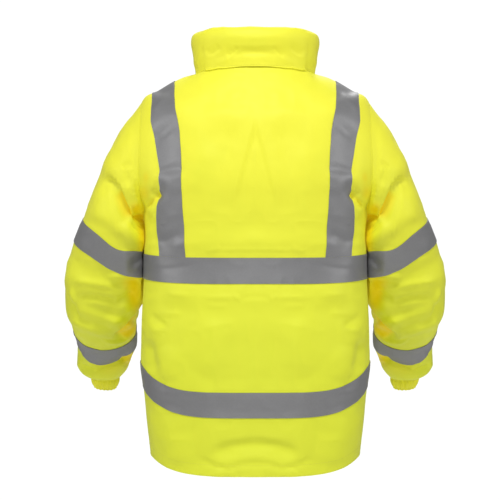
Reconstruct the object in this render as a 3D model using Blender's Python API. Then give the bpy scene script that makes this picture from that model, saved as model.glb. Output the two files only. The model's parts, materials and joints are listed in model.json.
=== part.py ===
"""A hi-vis work jacket in its worn shape, hollow and with no wearer.

Every panel is a cloth wall. The outer points of the body's panels lie on a stack of rounded rings from the hem
to the neck, those of the sleeves on a stack of tilted ovals from the armhole to the wrist, and the collar is
one section carried round the neck ring. Panels end at the seams of the real garment, a seam's gap apart.
Reflective tape is made from the points of the panel below it, moved out.

Frame: metres, +Z up. The front faces -Y and the wearer's left is +X. The origin is the middle of the neck
opening, level with the inner ends of the shoulder seams, where the wearer's neck and shoulders hold it.
"""

import math
from collections import namedtuple

import bmesh
import bpy
import numpy as np

# ---------------------------------------------------------------- driving sizes

CLOTH = 0.0020              # shell cloth with its lining, as one wall
TAPE = 0.0010               # reflective tape with its backing
SEAM_GAP = 0.0003           # between pieces that are sewn to each other
FRONT_EDGE = 0.0056         # from the centre line to the zip edge of each front
SLEEVE_CLEARANCE = 0.0035   # between the body's side and the sleeve that hangs beside it
CLEARANCE_SOFTNESS = 0.0022 # how gradually the sleeve flattens where it nears the body
ARMPIT_ROOM, ARMPIT_SLOPE = 0.004, 0.8   # where the sleeve may turn in to its seam, and how steeply
ARMHOLE_SHRINK = 0.0027     # how much of its half height the sleeve's top ring is smaller than the armhole
QUARTER = math.pi / 2

# The body's rings from the hem up. The height is given at the side, the centre back and the centre front.
BodyRing = namedtuple("BodyRing", "side_z back_z front_z half_width back front power")
BODY = (
    BodyRing(-0.760, -0.791, -0.756, 0.2085, 0.150, 0.160, 2.7),   # 0 hem
    BodyRing(-0.625, -0.678, -0.621, 0.2225, 0.150, 0.165, 2.8),   # 1 bottom of the lower tape
    BodyRing(-0.576, -0.629, -0.572, 0.2280, 0.154, 0.168, 2.9),   # 2 top of the lower tape
    BodyRing(-0.500, -0.520, -0.497, 0.2260, 0.160, 0.170, 2.9),
    BodyRing(-0.412, -0.421, -0.409, 0.2220, 0.152, 0.166, 2.8),   # 4 bottom of the waist tape
    BodyRing(-0.363, -0.371, -0.360, 0.2215, 0.151, 0.164, 2.8),   # 5 top of the waist tape
    BodyRing(-0.300, -0.309, -0.297, 0.2215, 0.155, 0.164, 2.8),   # 6 bottom of the armhole
    BodyRing(-0.175, -0.205, -0.195, 0.2550, 0.158, 0.160, 2.6),   # 7 middle of the armhole
    BodyRing(-0.063, -0.110, -0.125, 0.2270, 0.144, 0.147, 2.5),   # 8 top of the armhole
    BodyRing(-0.039, -0.070, -0.100, 0.1920, 0.127, 0.134, 2.3),
    BodyRing(-0.0145, -0.030, -0.078, 0.1500, 0.107, 0.118, 2.15),
    BodyRing(-0.006, 0.006, -0.058, 0.1190, 0.088, 0.100, 2.1),    # 11 neck
)
HEM, LOWER_TAPE, WAIST_TAPE, ARMPIT, TIP, NECK = 0, (1, 2), (4, 5), 6, 8, 11
RING_DIP = (2.6, 1.7)       # how a ring turns from its side height to its back or front height
ARMHOLE_BACK, ARMHOLE_FRONT = math.radians(22), math.radians(24)   # half widths of the armhole's eye

# Rows of points between those rings, and columns between the lines that run up a panel.
ROWS_BELOW_ARMPIT = (0, 0.3, 0.55, 0.8, 1, 1.5, 2, 2.35, 2.7, 3.05, 3.4, 3.7, 4, 4.5, 5, 5.5)
ARMHOLE_ROWS = 11           # from armpit to tip, and half of the points round a sleeve
COLUMNS = (6, 1, 2, 3)      # centre to neck line, to the brace's inner edge, across it, and to the side

# The shoulder-brace tapes: how far their edges are from the centre, by ring.
Brace = namedtuple("Brace", "ring neck_line inner outer")
BRACES = (
    Brace(HEM, 0.095, 0.1330, 0.1770),
    Brace(4, 0.100, 0.1360, 0.1840),
    Brace(5, 0.103, 0.1345, 0.1855),
    Brace(ARMPIT, 0.106, 0.1370, 0.1905),
    Brace(6.3, 0.108, 0.1400, 0.1910),
    Brace(6.6, 0.110, 0.1425, 0.1875),
    Brace(6.86, 0.112, 0.1430, 0.1865),
    Brace(7.14, 0.114, 0.1465, 0.1935),
    Brace(7.42, 0.116, 0.1550, 0.2035),
    Brace(7.7, 0.118, 0.1575, 0.2020),
    Brace(TIP, 0.119, 0.1595, 0.2045),
)

# The sleeve's ovals from the shoulder down: the outer and inner ends, the depth of the middle, how far the
# oval's plane leans forward, in degrees, and its half depth.
SleeveOval = namedtuple("SleeveOval", "out_x out_z in_x in_z mid_y lean half_depth")
SLEEVE = (
    SleeveOval(0.2890, -0.156, 0.2250, -0.297, -0.004, 6, 0.088),
    SleeveOval(0.3215, -0.226, 0.2080, -0.328, -0.012, 10, 0.087),
    SleeveOval(0.3473, -0.292, 0.2040, -0.355, -0.024, 11, 0.084),    # 3 top of the upper tape
    SleeveOval(0.3646, -0.335, 0.2040, -0.404, -0.036, 13, 0.081),    # 4 bottom of the upper tape
    SleeveOval(0.3815, -0.384, 0.2140, -0.440, -0.055, 20, 0.078),
    SleeveOval(0.3872, -0.458, 0.2345, -0.472, -0.084, 28, 0.073),
    SleeveOval(0.3790, -0.496, 0.2435, -0.492, -0.106, 38, 0.062),
    SleeveOval(0.3737, -0.521, 0.2472, -0.519, -0.134, 48, 0.052),    # 8 top of the forearm tape
    SleeveOval(0.3718, -0.547, 0.2508, -0.553, -0.172, 52, 0.049),    # 9 bottom of the forearm tape
    SleeveOval(0.3745, -0.594, 0.2700, -0.596, -0.208, 40, 0.046),
    SleeveOval(0.3499, -0.621, 0.2864, -0.624, -0.220, 16, 0.029),    # 11 cuff seam
)
OVAL_POWER = 2.25
LEAST_MITRE = 0.6           # keeps the shared cut of the armhole's seam from growing too long
SLEEVE_ROWS = (0, 0.25, 0.6, 0.8, 1, 1.5, 2, 2.5, 3, 3.5, 4, 4.5, 5, 5.5, 6, 6.5, 7, 7.5, 8, 8.5, 9, 9.4,
               9.8, 10.25, 10.65, 11)
UPPER_TAPE, FOREARM_TAPE = (3, 4), (8, 9)

# Where the sleeve's tapes stray from the ovals: at a turn round the arm, how many rows each edge moves down.
TapeDrift = namedtuple("TapeDrift", "row turn turn_reach rows_down")
TAPE_DRIFTS = (
    TapeDrift(3, 94, 24, 0.26),
    TapeDrift(4, 98, 28, 0.15),
    TapeDrift(8, 12, 30, -0.40),
    TapeDrift(8, 90, 32, 0.18),
    TapeDrift(9, 14, 30, -0.15),
    TapeDrift(9, 82, 32, 0.26),
    TapeDrift(9, 140, 30, -0.08),
)
DRIFT_ROWS = (2, 3, 4, 5.5, 7, 8, 9, 10)    # a drift is nothing at the rows here that have no tape's edge

# The largest folds. A body fold is a soft ridge, or a trough where its height is negative, along the line
# between two places given as distances from the centre and heights. It is on both sides.
BodyFold = namedtuple("BodyFold", "is_back x z end_x end_z width height")
BODY_FOLDS = (
    BodyFold(True, 0.188, -0.240, 0.219, -0.275, 0.015, -0.0060),    # into the armpit
    BodyFold(True, 0.176, -0.140, 0.172, -0.190, 0.030, -0.0050),    # hollow beside the shoulder blade
    BodyFold(True, 0.095, -0.150, 0.100, -0.215, 0.055, 0.0040),     # over the shoulder blade
    BodyFold(True, 0.000, -0.340, 0.135, -0.345, 0.018, 0.0035),     # cloth bloused over the waist tape
    BodyFold(True, 0.000, -0.446, 0.150, -0.440, 0.020, 0.0030),
    BodyFold(True, 0.205, -0.545, 0.196, -0.585, 0.022, -0.0045),    # side hollow above the lower tape
    BodyFold(True, 0.000, -0.731, 0.062, -0.739, 0.014, -0.0030),    # crescent above the hem
    BodyFold(False, 0.165, -0.225, 0.212, -0.285, 0.018, -0.0065),
    BodyFold(False, 0.100, -0.180, 0.120, -0.250, 0.050, 0.0050),
    BodyFold(False, 0.030, -0.335, 0.150, -0.342, 0.018, 0.0040),
    BodyFold(False, 0.040, -0.450, 0.165, -0.436, 0.022, 0.0040),
    BodyFold(False, 0.200, -0.530, 0.170, -0.570, 0.024, -0.0050),
    BodyFold(False, 0.055, -0.700, 0.120, -0.735, 0.020, -0.0040),
)

# A sleeve fold is centred at a turn round the arm, in degrees, and at a row, and reaches so far each way.
SleeveFold = namedtuple("SleeveFold", "turn row turn_reach row_reach height")
SLEEVE_FOLDS = (
    SleeveFold(0, 0.50, 50, 0.35, 0.0040),        # over the head of the sleeve
    SleeveFold(62, 1.55, 38, 0.30, -0.0075),      # from the outer arm down into the back of the armpit
    SleeveFold(120, 1.95, 34, 0.32, -0.0065),
    SleeveFold(88, 2.35, 45, 0.30, 0.0050),
    SleeveFold(300, 1.60, 40, 0.35, -0.0070),     # and into its front
    SleeveFold(250, 2.20, 40, 0.35, -0.0060),
    SleeveFold(60, 4.55, 50, 0.30, -0.0045),      # under the upper tape
    SleeveFold(45, 5.25, 50, 0.38, 0.0045),
    SleeveFold(110, 5.75, 50, 0.30, -0.0045),
    SleeveFold(75, 6.40, 55, 0.35, 0.0050),       # over the elbow
    SleeveFold(225, 6.20, 60, 0.35, -0.0080),     # in the crook of the elbow
    SleeveFold(235, 7.00, 55, 0.35, 0.0050),
    SleeveFold(130, 7.25, 45, 0.30, -0.0050),
    SleeveFold(60, 9.75, 50, 0.40, 0.0035),       # over the wrist
    SleeveFold(215, 9.90, 60, 0.40, 0.0040),
)

CUFF_LENGTH, CUFF_NARROWING, CUFF_INSET = 0.026, 0.76, 0.0004
CUFF_GATHERS, CUFF_SAMPLES, CUFF_WAVE = 17, 4, 0.0013

# The collar's section. The first column is how far a point is out from the neck ring where it is on the outer
# side, or how far it is across the wall where it is on the inner side. The second is its share of the height.
CollarPoint = namedtuple("CollarPoint", "out across up")
COLLAR = (
    CollarPoint(0.0000, 0.00, 0.000),
    CollarPoint(0.0030, 0.00, 0.200),
    CollarPoint(0.0062, 0.00, 0.460),
    CollarPoint(0.0090, 0.00, 0.720),
    CollarPoint(0.0072, 0.00, 0.890),
    CollarPoint(0.0020, 0.12, 0.985),
    CollarPoint(0.0000, 0.48, 1.010),
    CollarPoint(0.0000, 0.86, 0.960),
    CollarPoint(0.0000, 1.00, 0.800),
    CollarPoint(0.0000, 1.00, 0.420),
    CollarPoint(0.0000, 1.00, 0.030),
)
COLLAR_TOP_SIDE, COLLAR_TOP_BACK, COLLAR_TOP_FRONT = 0.0835, 0.0795, 0.0500
COLLAR_WALL_BACK, COLLAR_WALL_FRONT = 0.022, 0.008

# The hood flap's rows: the row of the collar's section each is on, and how far on the way it is to the next.
FLAP_ROWS = ((0, 0.25), (0, 0.62), (1, 0), (1, 0.5), (2, 0), (3, 0), (3, 0.9))
FLAP_STEPS, FLAP_ARCH, FLAP_FLARE, FLAP_FLARE_ROWS = 4, 0.0030, 0.0080, 2

CHAIN_WIDTH, CHAIN_THICKNESS, CHAIN_DEPTH, CHAIN_GAP = 0.0060, 0.0024, 0.0016, 0.0004
ZIP_TAPE_REACH, ZIP_TAPE_REACH_TOP = 0.018, 0.0108
ZIP_TAPE_THICKNESS, ZIP_TAPE_DEPTH = 0.0008, 0.0026
ZIP_NECK_STEP, ZIP_COLLAR_ROWS, ZIP_ENTRY = 0.02, (0.1, 1, 2, 2.6), 0.002
SLIDER_ROW, SLIDER_HALF_WIDTH, SLIDER_HALF_LENGTH = 3.6, 0.0046, 0.0055
SLIDER_PLATE, SLIDER_PROUD, SLIDER_DEPTH, SLIDER_POST = 0.0014, 0.0003, 0.0059, 0.0030
CROWN_HALF_WIDTH, CROWN_REACH, CROWN_HALF_LENGTH, CROWN_BAR = 0.0010, 0.0041, 0.0026, 0.0010
PULL_LENGTH, PULL_HALF_WIDTH, PULL_HALF_THICKNESS, PULL_BAR = 0.030, 0.0034, 0.0007, 0.0007
PULL_EYE_HALF_WIDTH, PULL_EYE_LENGTH = 0.0016, 0.0058

HI_VIS, SILVER, METAL, ZIP_YELLOW = "hi_vis_yellow", "silver_tape", "zip_metal", "zip_tape_yellow"
LOOKS = {HI_VIS: ((0.80, 0.86, 0.04), 0.75, 0.0), SILVER: ((0.24, 0.24, 0.25), 0.45, 0.3),
         METAL: ((0.45, 0.45, 0.46), 0.35, 1.0), ZIP_YELLOW: ((0.68, 0.74, 0.05), 0.85, 0.0)}


# ---------------------------------------------------------------- points and surfaces

def smooth_rows(rows, at, column=None):
    """The rows of a table read at fractional row numbers along a Catmull-Rom curve, in one column or in all."""
    rows = np.asarray(rows, float)
    padded = np.concatenate([[2 * rows[0] - rows[1]], rows, [2 * rows[-1] - rows[-2]]])
    at = np.clip(np.asarray(at, float), 0, len(rows) - 1)
    first = np.minimum(at.astype(int), len(rows) - 2)
    part = (at - first)[..., None]
    a, b, c, d = (padded[first + k] if column is None else padded[first + k, column] for k in range(4))
    return 0.5 * (2 * b + (c - a) * part + (2 * a - 5 * b + 4 * c - d) * part ** 2
                  + (3 * b - 3 * c + d - a) * part ** 3)


def unit(vectors):
    return vectors / np.linalg.norm(vectors, axis=-1, keepdims=True)


def mirrored(points):
    return points * np.array([-1.0, 1.0, 1.0])


def ring_sizes(ring):
    return BodyRing(*np.moveaxis(smooth_rows(BODY, ring), -1, 0))


def smooth_body(angle, ring):
    """The body with no folds, at an angle round from the centre back to the wearer's left, and at a ring."""
    size = ring_sizes(ring)
    across, along = np.sin(angle), np.cos(angle)
    depth = np.where(along >= 0, size.back, size.front)
    end_z = np.where(along >= 0, size.back_z, size.front_z)
    reach = ((np.abs(across) / size.half_width) ** size.power
             + (np.abs(along) / depth) ** size.power) ** (-1 / size.power)
    dip = 1 - (1 - np.minimum(reach * np.abs(along) / depth, 1) ** RING_DIP[0]) ** RING_DIP[1]
    z = size.side_z + (end_z - size.side_z) * dip
    return np.stack([reach * across, reach * along, z], -1)


def normals_of(surface, along, up, highest):
    """Outward normals of a surface given by how far along and how far up a point is."""
    step = 1e-3
    up = np.clip(up, step, highest - step)
    along_step = surface(along + step, up) - surface(along - step, up)
    up_step = surface(along, up + step) - surface(along, up - step)
    return unit(np.cross(up_step, along_step))


def fold_height(points):
    """How far the body's folds lift the cloth at each point."""
    x, y, z = np.abs(points[..., 0]), points[..., 1], points[..., 2]
    height = np.zeros_like(x)
    for fold in BODY_FOLDS:
        run_x, run_z = fold.end_x - fold.x, fold.end_z - fold.z
        share = ((x - fold.x) * run_x + (z - fold.z) * run_z) / (run_x ** 2 + run_z ** 2)
        share = np.clip(share, 0, 1)
        off = (x - fold.x - share * run_x) ** 2 + (z - fold.z - share * run_z) ** 2
        is_here = (y >= 0) == fold.is_back
        height += is_here * fold.height * np.exp(-off / fold.width ** 2)
    near_seam = np.clip(np.abs(y) / 0.06, 0, 1) ** 2
    return height * near_seam


def body_surface(angle, ring):
    angle, ring = np.broadcast_arrays(np.asarray(angle, float), np.asarray(ring, float))
    points = smooth_body(angle, ring)
    return points + normals_of(smooth_body, angle, ring, NECK) * fold_height(points)[..., None]


def body_normals(angle, ring):
    return normals_of(body_surface, angle, ring, NECK)


def angle_at(x, ring, is_back):
    """The angle at which a ring is x from the centre, on the back or on the front."""
    size = ring_sizes(ring)
    depth = size.back if is_back else size.front
    y = depth * np.maximum(1 - (x / size.half_width) ** size.power, 0) ** (1 / size.power)
    angle = np.arctan2(x, y)
    return angle if is_back else math.pi - angle


def ring_of_width(x):
    """The ring number, above the armhole, whose half width is x: where a line meets the shoulder seam."""
    rings = np.linspace(TIP, NECK, 301)
    widths = ring_sizes(rings).half_width
    return float(np.interp(-x, -widths, rings))


# ---------------------------------------------------------------- the body's panels

def panel_grid(is_back):
    """Angles and ring numbers of a half panel's points, by row from the hem and by column from the centre.

    The columns run up at fixed distances from the centre, so the brace's edges are columns. Above the armpit
    the rows rise towards the neck, so that the top row is the shoulder seam and then the neck.
    """
    seam = SEAM_GAP / 2 / ring_sizes(ARMPIT).half_width
    half_eye = ARMHOLE_BACK if is_back else ARMHOLE_FRONT
    steps = np.linspace(0, 1, ARMHOLE_ROWS + 1)
    rise = (1 - np.cos(math.pi * steps)) / 2
    brace_rings = [row.ring for row in BRACES]
    tops = [NECK, NECK, ring_of_width(BRACES[-1].inner), ring_of_width(BRACES[-1].outer), TIP]

    rows = []
    for ring in ROWS_BELOW_ARMPIT:
        rows.append((ring, 0.0, 0.0))
    for share in rise:
        eye = math.sqrt(max(0.0, 1 - (2 * share - 1) ** 2))
        rows.append((ARMPIT + (TIP - ARMPIT) * share, share, eye))

    angles, rings = [], []
    for ring, share, eye in rows:
        key_rings = [ring + (top - TIP) * share ** 2 for top in tops]
        lines = [np.interp(ring, brace_rings, [getattr(row, name) for row in BRACES])
                 for name in ("neck_line", "inner", "outer")]
        first = 0.0 if is_back else FRONT_EDGE
        key_angles = [angle_at(x, at, is_back) for x, at in zip([first] + lines, key_rings)]
        edge = QUARTER - seam - half_eye * eye
        key_angles.append(edge if is_back else math.pi - edge)
        at_shoulder = share > 0.999
        if at_shoulder:
            key_angles[1:] = [key_angles[-1]] * 4
        counts = np.concatenate([[0], np.cumsum(COLUMNS)])
        columns = np.arange(counts[-1] + 1)
        angles.append(np.interp(columns, counts, key_angles))
        rings.append(np.interp(columns, counts, key_rings))
    return np.array(angles), np.array(rings)


def arm_loop(turn, is_sleeve):
    """The armhole's edge at a turn round the arm: 0 is the tip of the shoulder, a quarter is the back."""
    gap = SEAM_GAP / 2 / ring_sizes(ARMPIT).half_width
    half_eye = np.where(np.sin(turn) >= 0, ARMHOLE_BACK, ARMHOLE_FRONT)
    away = half_eye * np.abs(np.sin(turn))
    away = np.maximum(away - gap, 0) if is_sleeve else away + gap
    angle = np.where(np.sin(turn) >= 0, QUARTER - away, QUARTER + away)
    reach = 1 - ARMHOLE_SHRINK if is_sleeve else 1.0
    ring = (ARMPIT + TIP) / 2 + reach * np.cos(turn)
    return angle, ring


# ---------------------------------------------------------------- the sleeve

def clear_of_body(points, firmness):
    """Sleeve points pushed out of the way of the body's side, which flattens the sleeve's inner side."""
    x, y, z = np.moveaxis(points, -1, 0)
    armpit_z = BODY[ARMPIT].side_z - ARMPIT_ROOM
    side_z = [ring.side_z for ring in BODY[:ARMPIT + 1]]
    size = ring_sizes(np.interp(np.minimum(z, armpit_z), side_z, range(ARMPIT + 1)))
    depth = np.where(y >= 0, size.back, size.front)
    share = np.clip(1 - (np.abs(y) / depth) ** size.power, 0, 1)
    limit = size.half_width * share ** (1 / size.power) + SLEEVE_CLEARANCE
    limit = limit - ARMPIT_SLOPE * np.maximum(z - armpit_z, 0)
    pushed = (x + limit + np.sqrt((x - limit) ** 2 + CLEARANCE_SOFTNESS ** 2)) / 2
    clear = np.stack([pushed, y, z], -1)
    return points + (clear - points) * firmness


def sleeve_ovals(turn):
    """The left sleeve's section points at each turn: the armhole's edge, and then each oval."""
    sections = [body_surface(*arm_loop(turn, is_sleeve=True))]
    bend_out, bend_round = np.cos(turn), np.sin(turn)
    reach = (np.abs(bend_out) ** OVAL_POWER + np.abs(bend_round) ** OVAL_POWER) ** (-1 / OVAL_POWER)
    for oval in SLEEVE:
        outer, inner = np.array([oval.out_x, 0, oval.out_z]), np.array([oval.in_x, 0, oval.in_z])
        middle = (outer + inner) / 2 + np.array([0, oval.mid_y, 0])
        lean = math.radians(oval.lean)
        backwards = np.array([0, math.cos(lean), -math.sin(lean)]) * oval.half_depth
        points = (middle + (reach * bend_out)[..., None] * (outer - inner) / 2
                  + (reach * bend_round)[..., None] * backwards)
        sections.append(points)
    return np.array(sections)


def smooth_sleeve(turn, row):
    """The left sleeve with no folds, at paired arrays of turns and row numbers."""
    points = smooth_rows(sleeve_ovals(turn.ravel()), row.ravel(), np.arange(row.size))
    return points.reshape(row.shape + (3,))


def sleeve_surface(turn, row):
    turn, row = np.broadcast_arrays(np.asarray(turn, float), np.asarray(row, float))
    height = np.zeros_like(row)
    for fold in SLEEVE_FOLDS:
        away = ((np.degrees(turn) - fold.turn + 180) % 360 - 180) / fold.turn_reach
        height += fold.height * np.exp(-away ** 2 - ((row - fold.row) / fold.row_reach) ** 2)
    points = smooth_sleeve(turn, row) + normals_of(smooth_sleeve, turn, row, len(SLEEVE)) * height[..., None]
    return clear_of_body(points, np.clip(row, 0, 1)[..., None])


def with_drift(turn, row):
    """Row numbers moved so that the tapes' edges run as they are sewn."""
    moved = {edge: np.zeros_like(turn) for edge in DRIFT_ROWS}
    for drift in TAPE_DRIFTS:
        away = ((np.degrees(turn) - drift.turn + 180) % 360 - 180) / drift.turn_reach
        moved[drift.row] = moved[drift.row] + drift.rows_down * np.exp(-away ** 2)
    shift = np.zeros_like(row)
    for low, high in zip(DRIFT_ROWS, DRIFT_ROWS[1:]):
        part = (row - low) / (high - low)
        shift = np.where((part >= 0) & (part <= 1), moved[low] * (1 - part) + moved[high] * part, shift)
    return row + shift


def sleeve_normals(turn, row):
    return normals_of(sleeve_surface, turn, row, len(SLEEVE))


def seam_direction(turn):
    """Which way the cut edges run at the armhole, shared by the body's panel and the sleeve."""
    body = body_normals(*arm_loop(turn, is_sleeve=False))
    sleeve = sleeve_normals(turn, np.zeros_like(turn))
    middle = unit(body + sleeve)
    lean = np.maximum(np.sum(middle * body, -1, keepdims=True), LEAST_MITRE)
    return middle / lean


# ---------------------------------------------------------------- meshes and objects

def add_object(name, look, mesh):
    mesh.materials.append(bpy.data.materials[look])
    item = bpy.data.objects.new(name, mesh)
    bpy.context.scene.collection.objects.link(item)
    return item


def finished_mesh(name, vertices, faces):
    """A closed mesh whose faces point out."""
    mesh = bpy.data.meshes.new(name)
    mesh.from_pydata([tuple(map(float, v)) for v in vertices], [], faces)
    shape = bmesh.new()
    shape.from_mesh(mesh)
    bmesh.ops.recalc_face_normals(shape, faces=shape.faces)
    shape.to_mesh(mesh)
    shape.free()
    mesh.shade_smooth()
    mesh.set_sharp_from_angle(angle=math.radians(50))
    return mesh


def wall(name, look, outer, inner, is_tube=False, centre=0):
    """A cloth wall between an outer and an inner grid of points; a tube's columns close into a ring.

    Every cell is split along the same diagonal, and along the mirrored one before the centre column, so
    pieces that lie on each other and share points are split alike.
    """
    rows, columns = outer.shape[:2]
    vertices = np.concatenate([outer.reshape(-1, 3), inner.reshape(-1, 3)])
    half = rows * columns
    faces = []
    spans = columns if is_tube else columns - 1
    for r in range(rows - 1):
        for c in range(spans):
            d = (c + 1) % columns
            low, low_next = r * columns + c, r * columns + d
            high, high_next = low + columns, low_next + columns
            if c < centre:
                halves = (low, low_next, high), (low_next, high_next, high)
            else:
                halves = (low, low_next, high_next), (low, high_next, high)
            for face in halves:
                faces.append(face)
                faces.append(tuple(half + v for v in reversed(face)))
    for r in (0, rows - 1):
        for c in range(spans):
            a, b = r * columns + c, r * columns + (c + 1) % columns
            faces.append((a, b, half + b, half + a) if r else (b, a, half + a, half + b))
    if not is_tube:
        for c in (0, columns - 1):
            for r in range(rows - 1):
                a, b = r * columns + c, (r + 1) * columns + c
                faces.append((b, a, half + a, half + b) if c else (a, b, half + b, half + a))
    return add_object(name, look, finished_mesh(name, vertices, faces))


def tape_on(name, base, out, is_tube=False, centre=0):
    """Tape on a block of a panel's own points, moved out along its normals."""
    return wall(name, SILVER, base + out * (SEAM_GAP + TAPE), base + out * SEAM_GAP, is_tube, centre)


def nudged(points, share=0.012):
    """A block of points whose first row has moved a little towards the second."""
    moved = points.copy()
    moved[0] += (points[1] - points[0]) * share
    return moved


# ---------------------------------------------------------------- the pieces

def make_looks():
    for name, (colour, roughness, metallic) in LOOKS.items():
        look = bpy.data.materials.new(name)
        look.use_nodes = True
        shader = look.node_tree.nodes["Principled BSDF"]
        shader.inputs["Base Color"].default_value = (*colour, 1.0)
        shader.inputs["Roughness"].default_value = roughness
        shader.inputs["Metallic"].default_value = metallic


def body_half(is_back):
    """Outer points, normals and inner points of a half panel on the wearer's left."""
    angles, rings = panel_grid(is_back)
    outer = body_surface(angles, rings)
    normals = body_normals(angles, rings)
    inner = outer - normals * CLOTH
    share = np.linspace(1, 0, ARMHOLE_ROWS + 1)
    turns = math.pi * share if is_back else 2 * math.pi - math.pi * share
    first = len(ROWS_BELOW_ARMPIT)
    inner[first:, -1] = outer[first:, -1] - seam_direction(turns) * CLOTH
    return outer, normals, inner


def whole_from_half(grid):
    """Both halves of a grid about the centre line, from the wearer's right to the left."""
    return np.concatenate([mirrored(grid[:, :0:-1]), grid], axis=1)


def make_body():
    row_of = {ring: k for k, ring in enumerate(ROWS_BELOW_ARMPIT)}
    lower = slice(row_of[LOWER_TAPE[0]], row_of[LOWER_TAPE[1]] + 1)
    waist = slice(row_of[WAIST_TAPE[0]], row_of[WAIST_TAPE[1]] + 1)
    above_waist = slice(row_of[WAIST_TAPE[1]], None)
    brace = slice(COLUMNS[0] + COLUMNS[1], COLUMNS[0] + COLUMNS[1] + COLUMNS[2] + 1)

    back, back_normals, back_inner = body_half(is_back=True)
    whole, whole_normals = whole_from_half(back), whole_from_half(back_normals)
    middle = sum(COLUMNS)
    wall("back", HI_VIS, whole, whole_from_half(back_inner), centre=middle)
    tape_on("waist_back", whole[waist], whole_normals[waist], centre=middle)
    tape_on("lower_back", whole[lower], whole_normals[lower], centre=middle)

    front, front_normals, front_inner = body_half(is_back=False)
    for side, flip in (("left", np.array), ("right", mirrored)):
        points, normals = flip(front), flip(front_normals)
        wall(f"front_{side}", HI_VIS, points, flip(front_inner))
        tape_on(f"waist_front_{side}", points[waist], normals[waist])
        tape_on(f"lower_front_{side}", points[lower], normals[lower])
        tape_on(f"brace_front_{side}", nudged(points[above_waist, brace]), normals[above_waist, brace])
        tape_on(f"brace_back_{side}", nudged(flip(back)[above_waist, brace]),
                flip(back_normals)[above_waist, brace])


def make_sleeves():
    """Each sleeve is a back and a front half, sewn together along the outer arm and the underarm."""
    turns, rows = np.meshgrid(np.arange(2 * ARMHOLE_ROWS) * math.pi / ARMHOLE_ROWS, SLEEVE_ROWS)
    rows = with_drift(turns, rows)
    outer, normals = sleeve_surface(turns, rows), sleeve_normals(turns, rows)
    inner = outer - normals * CLOTH
    inner[0] = outer[0] - seam_direction(turns[0]) * CLOTH
    ahead = unit(np.roll(outer, -1, axis=1) - np.roll(outer, 1, axis=1)) * SEAM_GAP / 2
    for side, flip in (("left", np.array), ("right", mirrored)):
        for face, first in (("back", 0), ("front", ARMHOLE_ROWS)):
            columns = np.arange(first, first + ARMHOLE_ROWS + 1) % (2 * ARMHOLE_ROWS)
            drawn_in = np.zeros_like(outer[:, columns])
            drawn_in[:, 0], drawn_in[:, -1] = ahead[:, columns[0]], -ahead[:, columns[-1]]
            wall(f"sleeve_{face}_{side}", HI_VIS, *(flip(grid[:, columns] + drawn_in) for grid in (outer, inner)))
        for place, (top, bottom) in (("upper", UPPER_TAPE), ("lower", FOREARM_TAPE)):
            block = slice(SLEEVE_ROWS.index(top), SLEEVE_ROWS.index(bottom) + 1)
            tape_on(f"sleeve_tape_{place}_{side}", flip(outer)[block], flip(normals)[block], is_tube=True)


def make_cuffs():
    """Gathered cuffs: the sleeve's last oval, carried on along the arm and pleated all round."""
    count = CUFF_GATHERS * CUFF_SAMPLES
    turns = np.arange(count) * 2 * math.pi / count
    seam = sleeve_ovals(turns)[-1]
    last = SLEEVE[-1]
    lean = math.radians(last.lean)
    middle = np.array([(last.out_x + last.in_x) / 2, last.mid_y, (last.out_z + last.in_z) / 2])
    down_arm = np.array([0, -math.sin(lean), -math.cos(lean)])
    radial = unit(seam - middle)
    wave = CUFF_WAVE * (np.cos(CUFF_GATHERS * turns) - 1)[:, None]
    outer, inner = [], []
    for share in (0, 0.5, 1):
        size = 1 + (CUFF_NARROWING - 1) * share
        centre = middle + down_arm * (SEAM_GAP + CUFF_LENGTH * share)
        ring = centre + (seam - middle) * size + radial * (wave - CUFF_INSET)
        outer.append(ring)
        inner.append(ring - radial * CLOTH)
    for side, flip in (("left", np.array), ("right", mirrored)):
        wall(f"cuff_{side}", HI_VIS, flip(np.array(outer)), flip(np.array(inner)), is_tube=True)


def collar_frame(angle):
    """The neck ring's point, the level direction out from it, and the collar's height and thickness."""
    point = body_surface(angle, NECK + 0 * angle)
    ring = BODY[NECK]
    depth = np.where(np.cos(angle) >= 0, ring.back, ring.front)
    x, y = point[..., 0], point[..., 1]
    out = np.stack([np.sign(x) * np.abs(x / ring.half_width) ** (ring.power - 1) / ring.half_width,
                    np.sign(y) * np.abs(y / depth) ** (ring.power - 1) / depth, 0 * x], -1)
    drop = np.where(y >= 0, COLLAR_TOP_SIDE - COLLAR_TOP_BACK, COLLAR_TOP_SIDE - COLLAR_TOP_FRONT)
    height = COLLAR_TOP_SIDE - drop * np.abs(y / depth) ** 1.6 - point[..., 2]
    thickness = COLLAR_WALL_BACK + (COLLAR_WALL_FRONT - COLLAR_WALL_BACK) * (1 - np.cos(angle)) / 2
    return point, unit(out), height, thickness


def collar_point(angle, row):
    """The collar's section at one of its table's rows, or between them, at each angle."""
    size = CollarPoint(*np.moveaxis(smooth_rows(COLLAR, row), -1, 0))
    point, out, height, thickness = collar_frame(angle)
    up = np.array([0, 0, 1.0])
    across = size.out - size.across * thickness
    return point + out * across[..., None] + up * (SEAM_GAP * 1.5 + size.up * height)[..., None]


def collar_grid():
    """The collar's angles from the wearer's right front to the left front, and its points, by table row.

    The angles are those of the panels' own points at the neck.
    """
    back, front = (panel_grid(is_back)[0][-1, :COLUMNS[0] + 1] for is_back in (True, False))
    half = np.concatenate([back[:-1], [QUARTER], front[-2::-1]])
    angles = np.concatenate([-half[:0:-1], half])
    return angles, np.array([collar_point(angles, np.full_like(angles, row)) for row in range(len(COLLAR))])


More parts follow.
